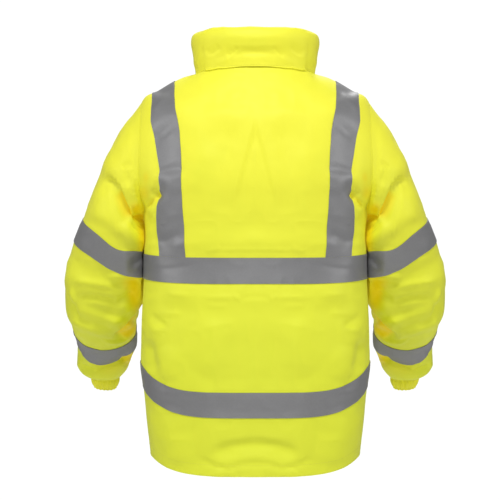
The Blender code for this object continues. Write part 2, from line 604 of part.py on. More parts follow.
def make_collar():
    _, grid = collar_grid()
    loop, steps = grid.shape[:2]
    faces = []
    for s in range(steps - 1):
        for k in range(loop):
            low, high = k * steps + s, (k + 1) % loop * steps + s
            if s < steps // 2:
                faces += [(low, low + 1, high), (low + 1, high + 1, high)]
            else:
                faces += [(low, low + 1, high + 1), (low, high + 1, high)]
    faces.append(tuple(k * steps for k in range(loop)))
    faces.append(tuple(k * steps + steps - 1 for k in range(loop)))
    add_object("collar", HI_VIS, finished_mesh("collar", grid.reshape(-1, 3), faces))


def make_hood_flap():
    """The flap over the rolled hood: it lies on the collar's back and its free edge arches and flares out."""
    angles, grid = collar_grid()
    middle = len(angles) // 2
    across = slice(middle - FLAP_STEPS, middle + FLAP_STEPS + 1)
    angles, grid = angles[across], grid[:, across]
    hump = np.cos(np.linspace(-QUARTER, QUARTER, len(angles)))
    _, out, _, _ = collar_frame(angles)
    outer, inner = [], []
    for low_row, share in FLAP_ROWS:
        row = low_row + share
        base = grid[low_row] + (grid[low_row + 1] - grid[low_row]) * share
        base = base + np.array([0, 0, FLAP_ARCH]) * hump[:, None] * max(0, 1 - row)
        lift = SEAM_GAP + FLAP_FLARE * hump ** 0.7 * max(0, 1 - row / FLAP_FLARE_ROWS) ** 2
        inner.append(base + out * lift[:, None])
        outer.append(base + out * (lift + CLOTH)[:, None])
    wall("hood_flap", HI_VIS, np.array(outer), np.array(inner), centre=FLAP_STEPS)


def slider_place():
    """The point of the collar's front that the slider is on."""
    return collar_point(np.array([math.pi]), np.array([SLIDER_ROW]))[0] * np.array([0, 1, 1])


def zip_line():
    """Points, outward normals and tape reach along the centre front, from the hem to inside the slider."""
    _, front_rings = panel_grid(is_back=False)
    rings = np.append(front_rings[:-1, 0], NECK - ZIP_NECK_STEP)
    points, normals = body_surface(math.pi, rings), body_normals(math.pi, rings)
    collar_rows = np.array(ZIP_COLLAR_ROWS)
    on_collar = collar_point(np.full_like(collar_rows, math.pi), collar_rows)
    place, up = slider_place(), np.array([0, 0, 1.0])
    in_slider = [place - up * (SLIDER_HALF_LENGTH + ZIP_ENTRY),
                 place + up * (SLIDER_HALF_LENGTH - SLIDER_POST - SEAM_GAP)]
    points = np.concatenate([points, on_collar, in_slider])
    forward = np.tile([0, -1.0, 0], (len(points) - len(rings), 1))
    normals = np.concatenate([normals, forward])
    points[:, 0], normals[:, 0] = 0, 0
    on_body = np.interp(rings, (TIP, TIP + 2), (ZIP_TAPE_REACH, ZIP_TAPE_REACH_TOP))
    reach = np.full(len(points), FRONT_EDGE - SEAM_GAP)
    reach[:len(rings) - 1] = on_body[:-1]
    return points, unit(normals), reach


def strip(name, look, points, normals, near, far, depth, thickness):
    """A flat strip down the front between two distances from the centre line, at a depth below the cloth."""
    sideways = np.array([1.0, 0, 0])
    grid = np.stack([points + sideways * edge[:, None] for edge in (near, far)], axis=1)
    inward = -normals[:, None]
    wall(name, look, grid + inward * depth, grid + inward * (depth + thickness))


def make_zip():
    points, normals, reach = zip_line()
    half = np.full(len(points), CHAIN_WIDTH / 2)
    strip("zip_chain", METAL, points, normals, -half, half, CHAIN_DEPTH, CHAIN_THICKNESS)
    for side, sign in (("left", 1), ("right", -1)):
        strip(f"zip_tape_{side}", ZIP_YELLOW, points, normals, sign * (half + CHAIN_GAP), sign * reach,
              ZIP_TAPE_DEPTH, ZIP_TAPE_THICKNESS)


def extruded(name, outline, half_width):
    """An outline in the Y-Z plane given a width along X."""
    count = len(outline)
    vertices = [(side * half_width, y, z) for side in (-1, 1) for y, z in outline]
    faces = [tuple(range(count)), tuple(range(count, 2 * count))]
    faces += [(k, (k + 1) % count, count + (k + 1) % count, count + k) for k in range(count)]
    return finished_mesh(name, vertices, faces)


def make_slider():
    """The slider: two plates joined by a post, closed at its top, with a crown that the pull hangs in."""
    front, back = -SLIDER_PROUD, SLIDER_DEPTH
    end = SLIDER_HALF_LENGTH
    plates = ((front, -end), (front + SLIDER_PLATE, -end), (front + SLIDER_PLATE, end - SLIDER_POST),
              (back - SLIDER_PLATE, end - SLIDER_POST), (back - SLIDER_PLATE, -end), (back, -end),
              (back, end), (front, end))
    foot, top = front + SLIDER_PLATE / 2, front - CROWN_REACH + SLIDER_PROUD
    hole = CROWN_HALF_LENGTH - CROWN_BAR
    crown = ((foot, -CROWN_HALF_LENGTH), (top, -CROWN_HALF_LENGTH), (top, CROWN_HALF_LENGTH),
             (foot, CROWN_HALF_LENGTH), (foot, hole), (top + CROWN_BAR, hole), (top + CROWN_BAR, -hole),
             (foot, -hole))
    slider = add_object("zip_slider", METAL, extruded("zip_slider", plates, SLIDER_HALF_WIDTH))
    slider.location = slider_place()
    guide = add_object("crown_shape", METAL, extruded("crown_shape", crown, CROWN_HALF_WIDTH))
    guide.location = slider.location
    guide.hide_render = True
    guide.display_type = "WIRE"
    join = slider.modifiers.new("crown", "BOOLEAN")
    join.operation = "UNION"
    join.object = guide


def make_pull():
    """The pull tab, with its origin on the axis of the bar that turns in the slider's crown."""
    eye = ((-PULL_EYE_HALF_WIDTH, -PULL_BAR), (PULL_EYE_HALF_WIDTH, -PULL_BAR),
           (PULL_EYE_HALF_WIDTH, -PULL_EYE_LENGTH / 2), (PULL_EYE_HALF_WIDTH, -PULL_EYE_LENGTH),
           (PULL_EYE_HALF_WIDTH / 2, -PULL_EYE_LENGTH), (-PULL_EYE_HALF_WIDTH / 2, -PULL_EYE_LENGTH),
           (-PULL_EYE_HALF_WIDTH, -PULL_EYE_LENGTH), (-PULL_EYE_HALF_WIDTH, -PULL_EYE_LENGTH / 2))
    wide = PULL_HALF_WIDTH
    edge = ((-wide, PULL_BAR), (wide, PULL_BAR), (wide * 1.05, -PULL_EYE_LENGTH),
            (wide * 1.15, 0.003 - PULL_LENGTH), (wide * 0.65, -PULL_LENGTH), (-wide * 0.65, -PULL_LENGTH),
            (-wide * 1.15, 0.003 - PULL_LENGTH), (-wide * 1.05, -PULL_EYE_LENGTH))
    flat = np.array([[(x, 0, z) for x, z in loop] for loop in (edge, eye)])
    half = np.array([0, PULL_HALF_THICKNESS, 0])
    pull = wall("zip_pull", METAL, flat - half, flat + half, is_tube=True)
    room = CROWN_REACH - CROWN_BAR - SLIDER_PROUD
    pull.location = slider_place() - np.array([0, SLIDER_PROUD + room / 2, 0])


def main():
    for item in list(bpy.data.objects):
        bpy.data.objects.remove(item, do_unlink=True)
    make_looks()
    make_body()
    make_sleeves()
    make_cuffs()
    make_collar()
    make_hood_flap()
    make_zip()
    make_slider()
    make_pull()


main()
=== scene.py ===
# %% [markdown]
# # A hi-vis work jacket, dressed in Blender
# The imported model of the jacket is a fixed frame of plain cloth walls. This lesson gives each wall its real
# surface: smooth cloth with creases and a fine weave, silver tape, rows of stitches, a zip with teeth, and
# gathered cuffs. It could all be painted on with bump maps, but then the folds would vanish at the edges of
# the shape. So the folds are moved points, and only the threads of the weave are left to the materials.
#
# Every length is in metres, +Z is up, the front faces -Y, and the wearer's left is +X.

import json
import math
from collections import namedtuple

import bmesh
import bpy
import numpy as np
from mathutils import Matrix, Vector

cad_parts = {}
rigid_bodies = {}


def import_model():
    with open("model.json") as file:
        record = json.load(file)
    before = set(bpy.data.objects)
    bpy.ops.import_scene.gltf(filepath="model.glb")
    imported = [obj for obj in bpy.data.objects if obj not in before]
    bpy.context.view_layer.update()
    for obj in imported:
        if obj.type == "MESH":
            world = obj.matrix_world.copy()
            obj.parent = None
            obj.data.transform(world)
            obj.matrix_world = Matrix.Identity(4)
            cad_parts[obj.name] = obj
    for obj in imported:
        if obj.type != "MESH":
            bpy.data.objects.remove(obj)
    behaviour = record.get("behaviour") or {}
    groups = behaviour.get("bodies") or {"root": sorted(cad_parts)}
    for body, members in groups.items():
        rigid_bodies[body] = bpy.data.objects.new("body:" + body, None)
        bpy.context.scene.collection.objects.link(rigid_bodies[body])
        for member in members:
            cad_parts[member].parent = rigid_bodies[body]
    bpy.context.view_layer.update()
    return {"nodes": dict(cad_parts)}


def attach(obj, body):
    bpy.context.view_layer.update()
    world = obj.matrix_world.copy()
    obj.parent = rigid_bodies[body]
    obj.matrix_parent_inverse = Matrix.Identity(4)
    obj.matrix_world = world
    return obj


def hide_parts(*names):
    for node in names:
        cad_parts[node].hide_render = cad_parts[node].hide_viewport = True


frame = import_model()

# %% [markdown]
# ## The jacket's measures
# A pattern cutter works from a short list of measures. The body is a stack of rounded rings from the hem to
# the neck, and each sleeve is a stack of tilted ovals from the armhole to the wrist. The measures are those
# of the solids, so a fine surface drawn from them lies on the solids. Copying the solids and subdividing them
# would be quicker, but their triangles would show as ripples.

# %% The body's rings and the lines that run up it
CLOTH, TAPE, SEAM_GAP = 0.0020, 0.0010, 0.0003    # thicknesses, and the gap between two sewn pieces
FRONT_EDGE = 0.0056         # from the centre to each front's edge beside the zip
ARMHOLE_SHRINK, LEAST_MITRE = 0.0027, 0.6
SIDE_FADE = 0.060           # how far round from the side seam the folds reach their full height
QUARTER = math.pi / 2

BodyRing = namedtuple("BodyRing", "side_z back_z front_z half_width back front power")
BODY = (
    BodyRing(-0.760, -0.791, -0.756, 0.2085, 0.150, 0.160, 2.7),   # 0 hem
    BodyRing(-0.625, -0.678, -0.621, 0.2225, 0.150, 0.165, 2.8),   # 1 bottom of the lower tape
    BodyRing(-0.576, -0.629, -0.572, 0.2280, 0.154, 0.168, 2.9),   # 2 top of the lower tape
    BodyRing(-0.500, -0.520, -0.497, 0.2260, 0.160, 0.170, 2.9),
    BodyRing(-0.412, -0.421, -0.409, 0.2220, 0.152, 0.166, 2.8),   # 4 bottom of the waist tape
    BodyRing(-0.363, -0.371, -0.360, 0.2215, 0.151, 0.164, 2.8),   # 5 top of the waist tape
    BodyRing(-0.300, -0.309, -0.297, 0.2215, 0.155, 0.164, 2.8),   # 6 bottom of the armhole
    BodyRing(-0.175, -0.205, -0.195, 0.2550, 0.158, 0.160, 2.6),   # 7 middle of the armhole
    BodyRing(-0.063, -0.110, -0.125, 0.2270, 0.144, 0.147, 2.5),   # 8 top of the armhole
    BodyRing(-0.039, -0.070, -0.100, 0.1920, 0.127, 0.134, 2.3),
    BodyRing(-0.0145, -0.030, -0.078, 0.1500, 0.107, 0.118, 2.15),
    BodyRing(-0.006, 0.006, -0.058, 0.1190, 0.088, 0.100, 2.1),    # 11 neck
)
HEM, LOWER_TAPE, WAIST_TAPE, ARMPIT, TIP, NECK = 0, (1, 2), (4, 5), 6, 8, 11
RING_DIP = (2.6, 1.7)
ARMHOLE_BACK, ARMHOLE_FRONT = math.radians(22), math.radians(24)
ROWS_BELOW_ARMPIT = (0, 0.3, 0.55, 0.8, 1, 1.5, 2, 2.35, 2.7, 3.05, 3.4, 3.7, 4, 4.5, 5, 5.5)
ARMHOLE_ROWS = 11
COLUMNS = (6, 1, 2, 3)      # centre to neck line, to the brace's inner edge, across it, and to the side

Brace = namedtuple("Brace", "ring neck_line inner outer")
BRACES = (
    Brace(HEM, 0.095, 0.1330, 0.1770),
    Brace(4, 0.100, 0.1360, 0.1840),
    Brace(5, 0.103, 0.1345, 0.1855),
    Brace(ARMPIT, 0.106, 0.1370, 0.1905),
    Brace(6.3, 0.108, 0.1400, 0.1910),
    Brace(6.6, 0.110, 0.1425, 0.1875),
    Brace(6.86, 0.112, 0.1430, 0.1865),
    Brace(7.14, 0.114, 0.1465, 0.1935),
    Brace(7.42, 0.116, 0.1550, 0.2035),
    Brace(7.7, 0.118, 0.1575, 0.2020),
    Brace(TIP, 0.119, 0.1595, 0.2045),
)
print("body:", len(BODY), "rings from", BODY[HEM].back_z, "to", BODY[NECK].back_z, "m")

# %% The sleeve's ovals
SleeveOval = namedtuple("SleeveOval", "out_x out_z in_x in_z mid_y lean half_depth")
SLEEVE = (
    SleeveOval(0.2890, -0.156, 0.2250, -0.297, -0.004, 6, 0.088),
    SleeveOval(0.3215, -0.226, 0.2080, -0.328, -0.012, 10, 0.087),
    SleeveOval(0.3473, -0.292, 0.2040, -0.355, -0.024, 11, 0.084),    # 3 top of the upper tape
    SleeveOval(0.3646, -0.335, 0.2040, -0.404, -0.036, 13, 0.081),    # 4 bottom of the upper tape
    SleeveOval(0.3815, -0.384, 0.2140, -0.440, -0.055, 20, 0.078),
    SleeveOval(0.3872, -0.458, 0.2345, -0.472, -0.084, 28, 0.073),
    SleeveOval(0.3790, -0.496, 0.2435, -0.492, -0.106, 38, 0.062),
    SleeveOval(0.3737, -0.521, 0.2472, -0.519, -0.134, 48, 0.052),    # 8 top of the forearm tape
    SleeveOval(0.3718, -0.547, 0.2508, -0.553, -0.172, 52, 0.049),    # 9 bottom of the forearm tape
    SleeveOval(0.3745, -0.594, 0.2700, -0.596, -0.208, 40, 0.046),
    SleeveOval(0.3499, -0.621, 0.2864, -0.624, -0.220, 16, 0.029),    # 11 cuff seam
)
OVAL_POWER = 2.25
SLEEVE_ROWS = (0, 0.25, 0.6, 0.8, 1, 1.5, 2, 2.5, 3, 3.5, 4, 4.5, 5, 5.5, 6, 6.5, 7, 7.5, 8, 8.5, 9, 9.4,
               9.8, 10.25, 10.65, 11)
UPPER_TAPE, FOREARM_TAPE = (3, 4), (8, 9)

# Where the sleeve's tapes stray from the ovals: at a turn round the arm, how many rows an edge moves down.
TapeDrift = namedtuple("TapeDrift", "row turn turn_reach rows_down")
TAPE_DRIFTS = (
    TapeDrift(3, 94, 24, 0.26),
    TapeDrift(4, 98, 28, 0.15),
    TapeDrift(8, 12, 30, -0.40),
    TapeDrift(8, 90, 32, 0.18),
    TapeDrift(9, 14, 30, -0.15),
    TapeDrift(9, 82, 32, 0.26),
    TapeDrift(9, 140, 30, -0.08),
)
DRIFT_ROWS = (2, 3, 4, 5.5, 7, 8, 9, 10)    # a drift is nothing at the rows here that have no tape's edge
print("sleeve:", len(SLEEVE), "ovals below the armhole")

# %% The large folds
BodyFold = namedtuple("BodyFold", "is_back x z end_x end_z width height")
BODY_FOLDS = (
    BodyFold(True, 0.188, -0.240, 0.219, -0.275, 0.015, -0.0060),
    BodyFold(True, 0.176, -0.140, 0.172, -0.190, 0.030, -0.0050),
    BodyFold(True, 0.095, -0.150, 0.100, -0.215, 0.055, 0.0040),
    BodyFold(True, 0.000, -0.340, 0.135, -0.345, 0.018, 0.0035),
    BodyFold(True, 0.000, -0.446, 0.150, -0.440, 0.020, 0.0030),
    BodyFold(True, 0.205, -0.545, 0.196, -0.585, 0.022, -0.0045),
    BodyFold(True, 0.000, -0.731, 0.062, -0.739, 0.014, -0.0030),
    BodyFold(False, 0.165, -0.225, 0.212, -0.285, 0.018, -0.0065),
    BodyFold(False, 0.100, -0.180, 0.120, -0.250, 0.050, 0.0050),
    BodyFold(False, 0.030, -0.335, 0.150, -0.342, 0.018, 0.0040),
    BodyFold(False, 0.040, -0.450, 0.165, -0.436, 0.022, 0.0040),
    BodyFold(False, 0.200, -0.530, 0.170, -0.570, 0.024, -0.0050),
    BodyFold(False, 0.055, -0.700, 0.120, -0.735, 0.020, -0.0040),
)
SleeveFold = namedtuple("SleeveFold", "turn row turn_reach row_reach height")
SLEEVE_FOLDS = (
    SleeveFold(0, 0.50, 50, 0.35, 0.0040),
    SleeveFold(62, 1.55, 38, 0.30, -0.0075),
    SleeveFold(120, 1.95, 34, 0.32, -0.0065),
    SleeveFold(88, 2.35, 45, 0.30, 0.0050),
    SleeveFold(300, 1.60, 40, 0.35, -0.0070),
    SleeveFold(250, 2.20, 40, 0.35, -0.0060),
    SleeveFold(60, 4.55, 50, 0.30, -0.0045),
    SleeveFold(45, 5.25, 50, 0.38, 0.0045),
    SleeveFold(110, 5.75, 50, 0.30, -0.0045),
    SleeveFold(75, 6.40, 55, 0.35, 0.0050),
    SleeveFold(225, 6.20, 60, 0.35, -0.0080),
    SleeveFold(235, 7.00, 55, 0.35, 0.0050),
    SleeveFold(130, 7.25, 45, 0.30, -0.0050),
    SleeveFold(60, 9.75, 50, 0.40, 0.0035),
    SleeveFold(215, 9.90, 60, 0.40, 0.0040),
)
print("folds:", len(BODY_FOLDS), "on the body and", len(SLEEVE_FOLDS), "on each sleeve")

# %% [markdown]
# ## From measures to surfaces
# A surface is a function: give it how far round and how far up a point is, and it answers with a place.
# Numpy works on whole grids of points at once, so a panel of thousands of points takes one call. The rings
# are read along a smooth curve through the table, because straight steps between them would show as bands.

# %% Reading a table along a smooth curve
def smooth_rows(rows, at, column=None):
    """A table's rows read at fractional row numbers along a Catmull-Rom curve, in one column or in all."""
    rows = np.asarray(rows, float)
    padded = np.concatenate([[2 * rows[0] - rows[1]], rows, [2 * rows[-1] - rows[-2]]])
    at = np.clip(np.asarray(at, float), 0, len(rows) - 1)
    first = np.minimum(at.astype(int), len(rows) - 2)
    part = (at - first)[..., None]
    a, b, c, d = (padded[first + k] if column is None else padded[first + k, column] for k in range(4))
    return 0.5 * (2 * b + (c - a) * part + (2 * a - 5 * b + 4 * c - d) * part ** 2
                  + (3 * b - 3 * c + d - a) * part ** 3)


def unit(vectors):
    return vectors / np.maximum(np.linalg.norm(vectors, axis=-1, keepdims=True), 1e-12)


def mirrored(points):
    return points * np.array([-1.0, 1.0, 1.0])


def eased(share):
    """0 below 0, 1 above 1, and a smooth step between."""
    share = np.clip(share, 0, 1)
    return share * share * (3 - 2 * share)


# %% The body's surface
def ring_sizes(ring):
    return BodyRing(*np.moveaxis(smooth_rows(BODY, ring), -1, 0))


def smooth_body(angle, ring):
    """The body with no folds, at an angle from the centre back towards the wearer's left, and at a ring."""
    size = ring_sizes(ring)
    across, along = np.sin(angle), np.cos(angle)
    depth = np.where(along >= 0, size.back, size.front)
    end_z = np.where(along >= 0, size.back_z, size.front_z)
    reach = ((np.abs(across) / size.half_width) ** size.power
             + (np.abs(along) / depth) ** size.power) ** (-1 / size.power)
    dip = 1 - (1 - np.minimum(reach * np.abs(along) / depth, 1) ** RING_DIP[0]) ** RING_DIP[1]
    z = size.side_z + (end_z - size.side_z) * dip
    return np.stack([reach * across, reach * along, z], -1)


def normals_of(surface, along, up, highest):
    """Outward normals of a surface given by how far along and how far up a point is."""
    step = 1e-3
    up = np.clip(up, step, highest - step)
    along_step = surface(along + step, up) - surface(along - step, up)
    up_step = surface(along, up + step) - surface(along, up - step)
    return unit(np.cross(up_step, along_step))


def away_from_side(points):
    """0 at the side seams, and 1 on the back and the front past the fade."""
    return np.clip(np.abs(points[..., 1]) / SIDE_FADE, 0, 1) ** 2


def fold_height(points):
    """How far the body's folds lift the cloth at each point."""
    x, y, z = np.abs(points[..., 0]), points[..., 1], points[..., 2]
    height = np.zeros_like(x)
    for fold in BODY_FOLDS:
        run_x, run_z = fold.end_x - fold.x, fold.end_z - fold.z
        share = ((x - fold.x) * run_x + (z - fold.z) * run_z) / (run_x ** 2 + run_z ** 2)
        share = np.clip(share, 0, 1)
        off = (x - fold.x - share * run_x) ** 2 + (z - fold.z - share * run_z) ** 2
        is_here = (y >= 0) == fold.is_back
        height += is_here * fold.height * np.exp(-off / fold.width ** 2)
    return height * away_from_side(points)


def body_surface(angle, ring):
    angle, ring = np.broadcast_arrays(np.asarray(angle, float), np.asarray(ring, float))
    points = smooth_body(angle, ring)
    return points + normals_of(smooth_body, angle, ring, NECK) * fold_height(points)[..., None]


centre_back = body_surface(np.zeros(2), np.array([HEM, NECK]))
print("centre back runs from", np.round(centre_back[0], 3), "to", np.round(centre_back[1], 3))


# %% Where a panel's points lie
def angle_at(x, ring, is_back):
    """The angle at which a ring is x from the centre, on the back or on the front."""
    size = ring_sizes(ring)
    depth = size.back if is_back else size.front
    y = depth * np.maximum(1 - (x / size.half_width) ** size.power, 0) ** (1 / size.power)
    angle = np.arctan2(x, y)
    return angle if is_back else math.pi - angle


def ring_of_width(x):
    """The ring number, above the armhole, whose half width is x: where a line meets the shoulder seam."""
    rings = np.linspace(TIP, NECK, 301)
    return float(np.interp(-x, -ring_sizes(rings).half_width, rings))


FINE = 7                    # cells of fine cloth across one cell of the solids

def panel_grid(is_back):
    """Angles and ring numbers of a half panel's points, rows from the hem, columns from the centre."""
    seam = SEAM_GAP / 2 / ring_sizes(ARMPIT).half_width
    half_eye = ARMHOLE_BACK if is_back else ARMHOLE_FRONT
    below = ROWS_BELOW_ARMPIT + (ARMPIT,)
    below = np.interp(np.arange((len(below) - 1) * FINE) / FINE, np.arange(len(below)), below)
    steps = np.linspace(0, 1, ARMHOLE_ROWS * FINE + 1)
    rise = (1 - np.cos(math.pi * steps)) / 2
    brace_rings = [row.ring for row in BRACES]
    tops = [NECK, NECK, ring_of_width(BRACES[-1].inner), ring_of_width(BRACES[-1].outer), TIP]

    rows = [(ring, 0.0, 0.0) for ring in below]
    rows += [(ARMPIT + (TIP - ARMPIT) * share, share, math.sqrt(max(0.0, 1 - (2 * share - 1) ** 2)))
             for share in rise]
    counts = np.concatenate([[0], np.cumsum(COLUMNS)]) * FINE
    columns = np.arange(counts[-1] + 1)
    angles, rings = [], []
    for ring, share, eye in rows:
        key_rings = [ring + (top - TIP) * share ** 2 for top in tops]
        lines = [np.interp(ring, brace_rings, [getattr(row, name) for row in BRACES])
                 for name in ("neck_line", "inner", "outer")]
        first = 0.0 if is_back else FRONT_EDGE
        key_angles = [angle_at(x, at, is_back) for x, at in zip([first] + lines, key_rings)]
        edge = QUARTER - seam - half_eye * eye
        key_angles.append(edge if is_back else math.pi - edge)
        if share > 0.9999:
            key_angles[1:] = [key_angles[-1]] * 4
        angles.append(np.interp(columns, counts, key_angles))
        rings.append(np.interp(columns, counts, key_rings))
    return np.array(angles), np.array(rings)


def panel_row(ring):
    """The fine row that runs along one of the body's rings, up to the armpit."""
    return ROWS_BELOW_ARMPIT.index(ring) * FINE


back_angles, back_rings = panel_grid(is_back=True)
front_angles, front_rings = panel_grid(is_back=False)
print("a half back panel has", back_angles.shape, "points, a front", front_angles.shape)


# %% [markdown]
# The sleeve hangs against the body's side. Where the tapes of both meet it keeps a few millimetres clear, and
# elsewhere the bare cloth comes almost to touching. Sleeve points that would be too near are pushed out along
# X, with a rounded step, so that the sleeve's inner side is flattened as real cloth is. A Shrinkwrap modifier
# could do this too, but it would leave a hard line where the push begins.

# %% The armhole and the sleeve's surface
ARMPIT_ROOM, ARMPIT_SLOPE = 0.004, 0.8
CLEARANCE_SOFTNESS = 0.0022
TAPE_CLEARANCE, BARE_CLEARANCE = 0.0030, 0.0006
TAPES_MEET, TAPES_MEET_FADE = (-0.426, -0.345), 0.012    # between these heights both tapes lie side by side

def arm_loop(turn, is_sleeve):
    """The armhole's edge at a turn round the arm: 0 is the tip of the shoulder, a quarter is the back."""
    gap = SEAM_GAP / 2 / ring_sizes(ARMPIT).half_width
    half_eye = np.where(np.sin(turn) >= 0, ARMHOLE_BACK, ARMHOLE_FRONT)
    away = half_eye * np.abs(np.sin(turn))
    away = np.maximum(away - gap, 0) if is_sleeve else away + gap
    angle = np.where(np.sin(turn) >= 0, QUARTER - away, QUARTER + away)
    reach = 1 - ARMHOLE_SHRINK if is_sleeve else 1.0
    return angle, (ARMPIT + TIP) / 2 + reach * np.cos(turn)


def clear_of_body(points, firmness):
    """Sleeve points pushed out of the way of the body's side, which flattens the sleeve's inner side."""
    x, y, z = np.moveaxis(points, -1, 0)
    armpit_z = BODY[ARMPIT].side_z - ARMPIT_ROOM
    side_z = [ring.side_z for ring in BODY[:ARMPIT + 1]]
    size = ring_sizes(np.interp(np.minimum(z, armpit_z), side_z, range(ARMPIT + 1)))
    depth = np.where(y >= 0, size.back, size.front)
    share = np.clip(1 - (np.abs(y) / depth) ** size.power, 0, 1)
    in_tapes = eased((z - TAPES_MEET[0]) / TAPES_MEET_FADE) * eased((TAPES_MEET[1] - z) / TAPES_MEET_FADE)
    clearance = BARE_CLEARANCE + (TAPE_CLEARANCE - BARE_CLEARANCE) * in_tapes
    limit = size.half_width * share ** (1 / size.power) + clearance
    limit = limit - ARMPIT_SLOPE * np.maximum(z - armpit_z, 0)
    pushed = (x + limit + np.sqrt((x - limit) ** 2 + CLEARANCE_SOFTNESS ** 2)) / 2
    return points + (np.stack([pushed, y, z], -1) - points) * firmness


def sleeve_ovals(turn):
    """The left sleeve's section points at each turn: the armhole's edge, and then each oval."""
    sections = [body_surface(*arm_loop(turn, is_sleeve=True))]
    bend_out, bend_round = np.cos(turn), np.sin(turn)
    reach = (np.abs(bend_out) ** OVAL_POWER + np.abs(bend_round) ** OVAL_POWER) ** (-1 / OVAL_POWER)
    for oval in SLEEVE:
        outer, inner = np.array([oval.out_x, 0, oval.out_z]), np.array([oval.in_x, 0, oval.in_z])
        middle = (outer + inner) / 2 + np.array([0, oval.mid_y, 0])
        lean = math.radians(oval.lean)
        backwards = np.array([0, math.cos(lean), -math.sin(lean)]) * oval.half_depth
        sections.append(middle + (reach * bend_out)[..., None] * (outer - inner) / 2
                        + (reach * bend_round)[..., None] * backwards)
    return np.array(sections)


def smooth_sleeve(turn, row):
    """The left sleeve with no folds, at paired arrays of turns and row numbers."""
    points = smooth_rows(sleeve_ovals(turn.ravel()), row.ravel(), np.arange(row.size))
    return points.reshape(row.shape + (3,))


def sleeve_surface(turn, row):
    turn, row = np.broadcast_arrays(np.asarray(turn, float), np.asarray(row, float))
    height = np.zeros_like(row)
    for fold in SLEEVE_FOLDS:
        away = ((np.degrees(turn) - fold.turn + 180) % 360 - 180) / fold.turn_reach
        height += fold.height * np.exp(-away ** 2 - ((row - fold.row) / fold.row_reach) ** 2)
    outwards = normals_of(smooth_sleeve, turn, row, len(SLEEVE))
    points = smooth_sleeve(turn, row) + outwards * height[..., None]
    return clear_of_body(points, np.clip(row, 0, 1)[..., None])


def with_drift(turn, row):
    """Row numbers moved so that the tapes' edges run as they are sewn."""
    moved = {edge: np.zeros_like(turn) for edge in DRIFT_ROWS}
    for drift in TAPE_DRIFTS:
        away = ((np.degrees(turn) - drift.turn + 180) % 360 - 180) / drift.turn_reach
        moved[drift.row] = moved[drift.row] + drift.rows_down * np.exp(-away ** 2)
    shift = np.zeros_like(row)
    for low, high in zip(DRIFT_ROWS, DRIFT_ROWS[1:]):
        part = (row - low) / (high - low)
        shift = np.where((part >= 0) & (part <= 1), moved[low] * (1 - part) + moved[high] * part, shift)
    return row + shift


SLEEVE_FINE_ROUND, SLEEVE_FINE_DOWN = 8, 7    # cells of fine cloth across one cell of the solids
sleeve_turns, sleeve_rows = np.meshgrid(
    np.arange(2 * ARMHOLE_ROWS * SLEEVE_FINE_ROUND) * math.pi / (ARMHOLE_ROWS * SLEEVE_FINE_ROUND),
    np.interp(np.arange((len(SLEEVE_ROWS) - 1) * SLEEVE_FINE_DOWN + 1) / SLEEVE_FINE_DOWN,
              np.arange(len(SLEEVE_ROWS)), SLEEVE_ROWS))
sleeve_rows = with_drift(sleeve_turns, sleeve_rows)
print("a sleeve has", sleeve_turns.shape, "points")
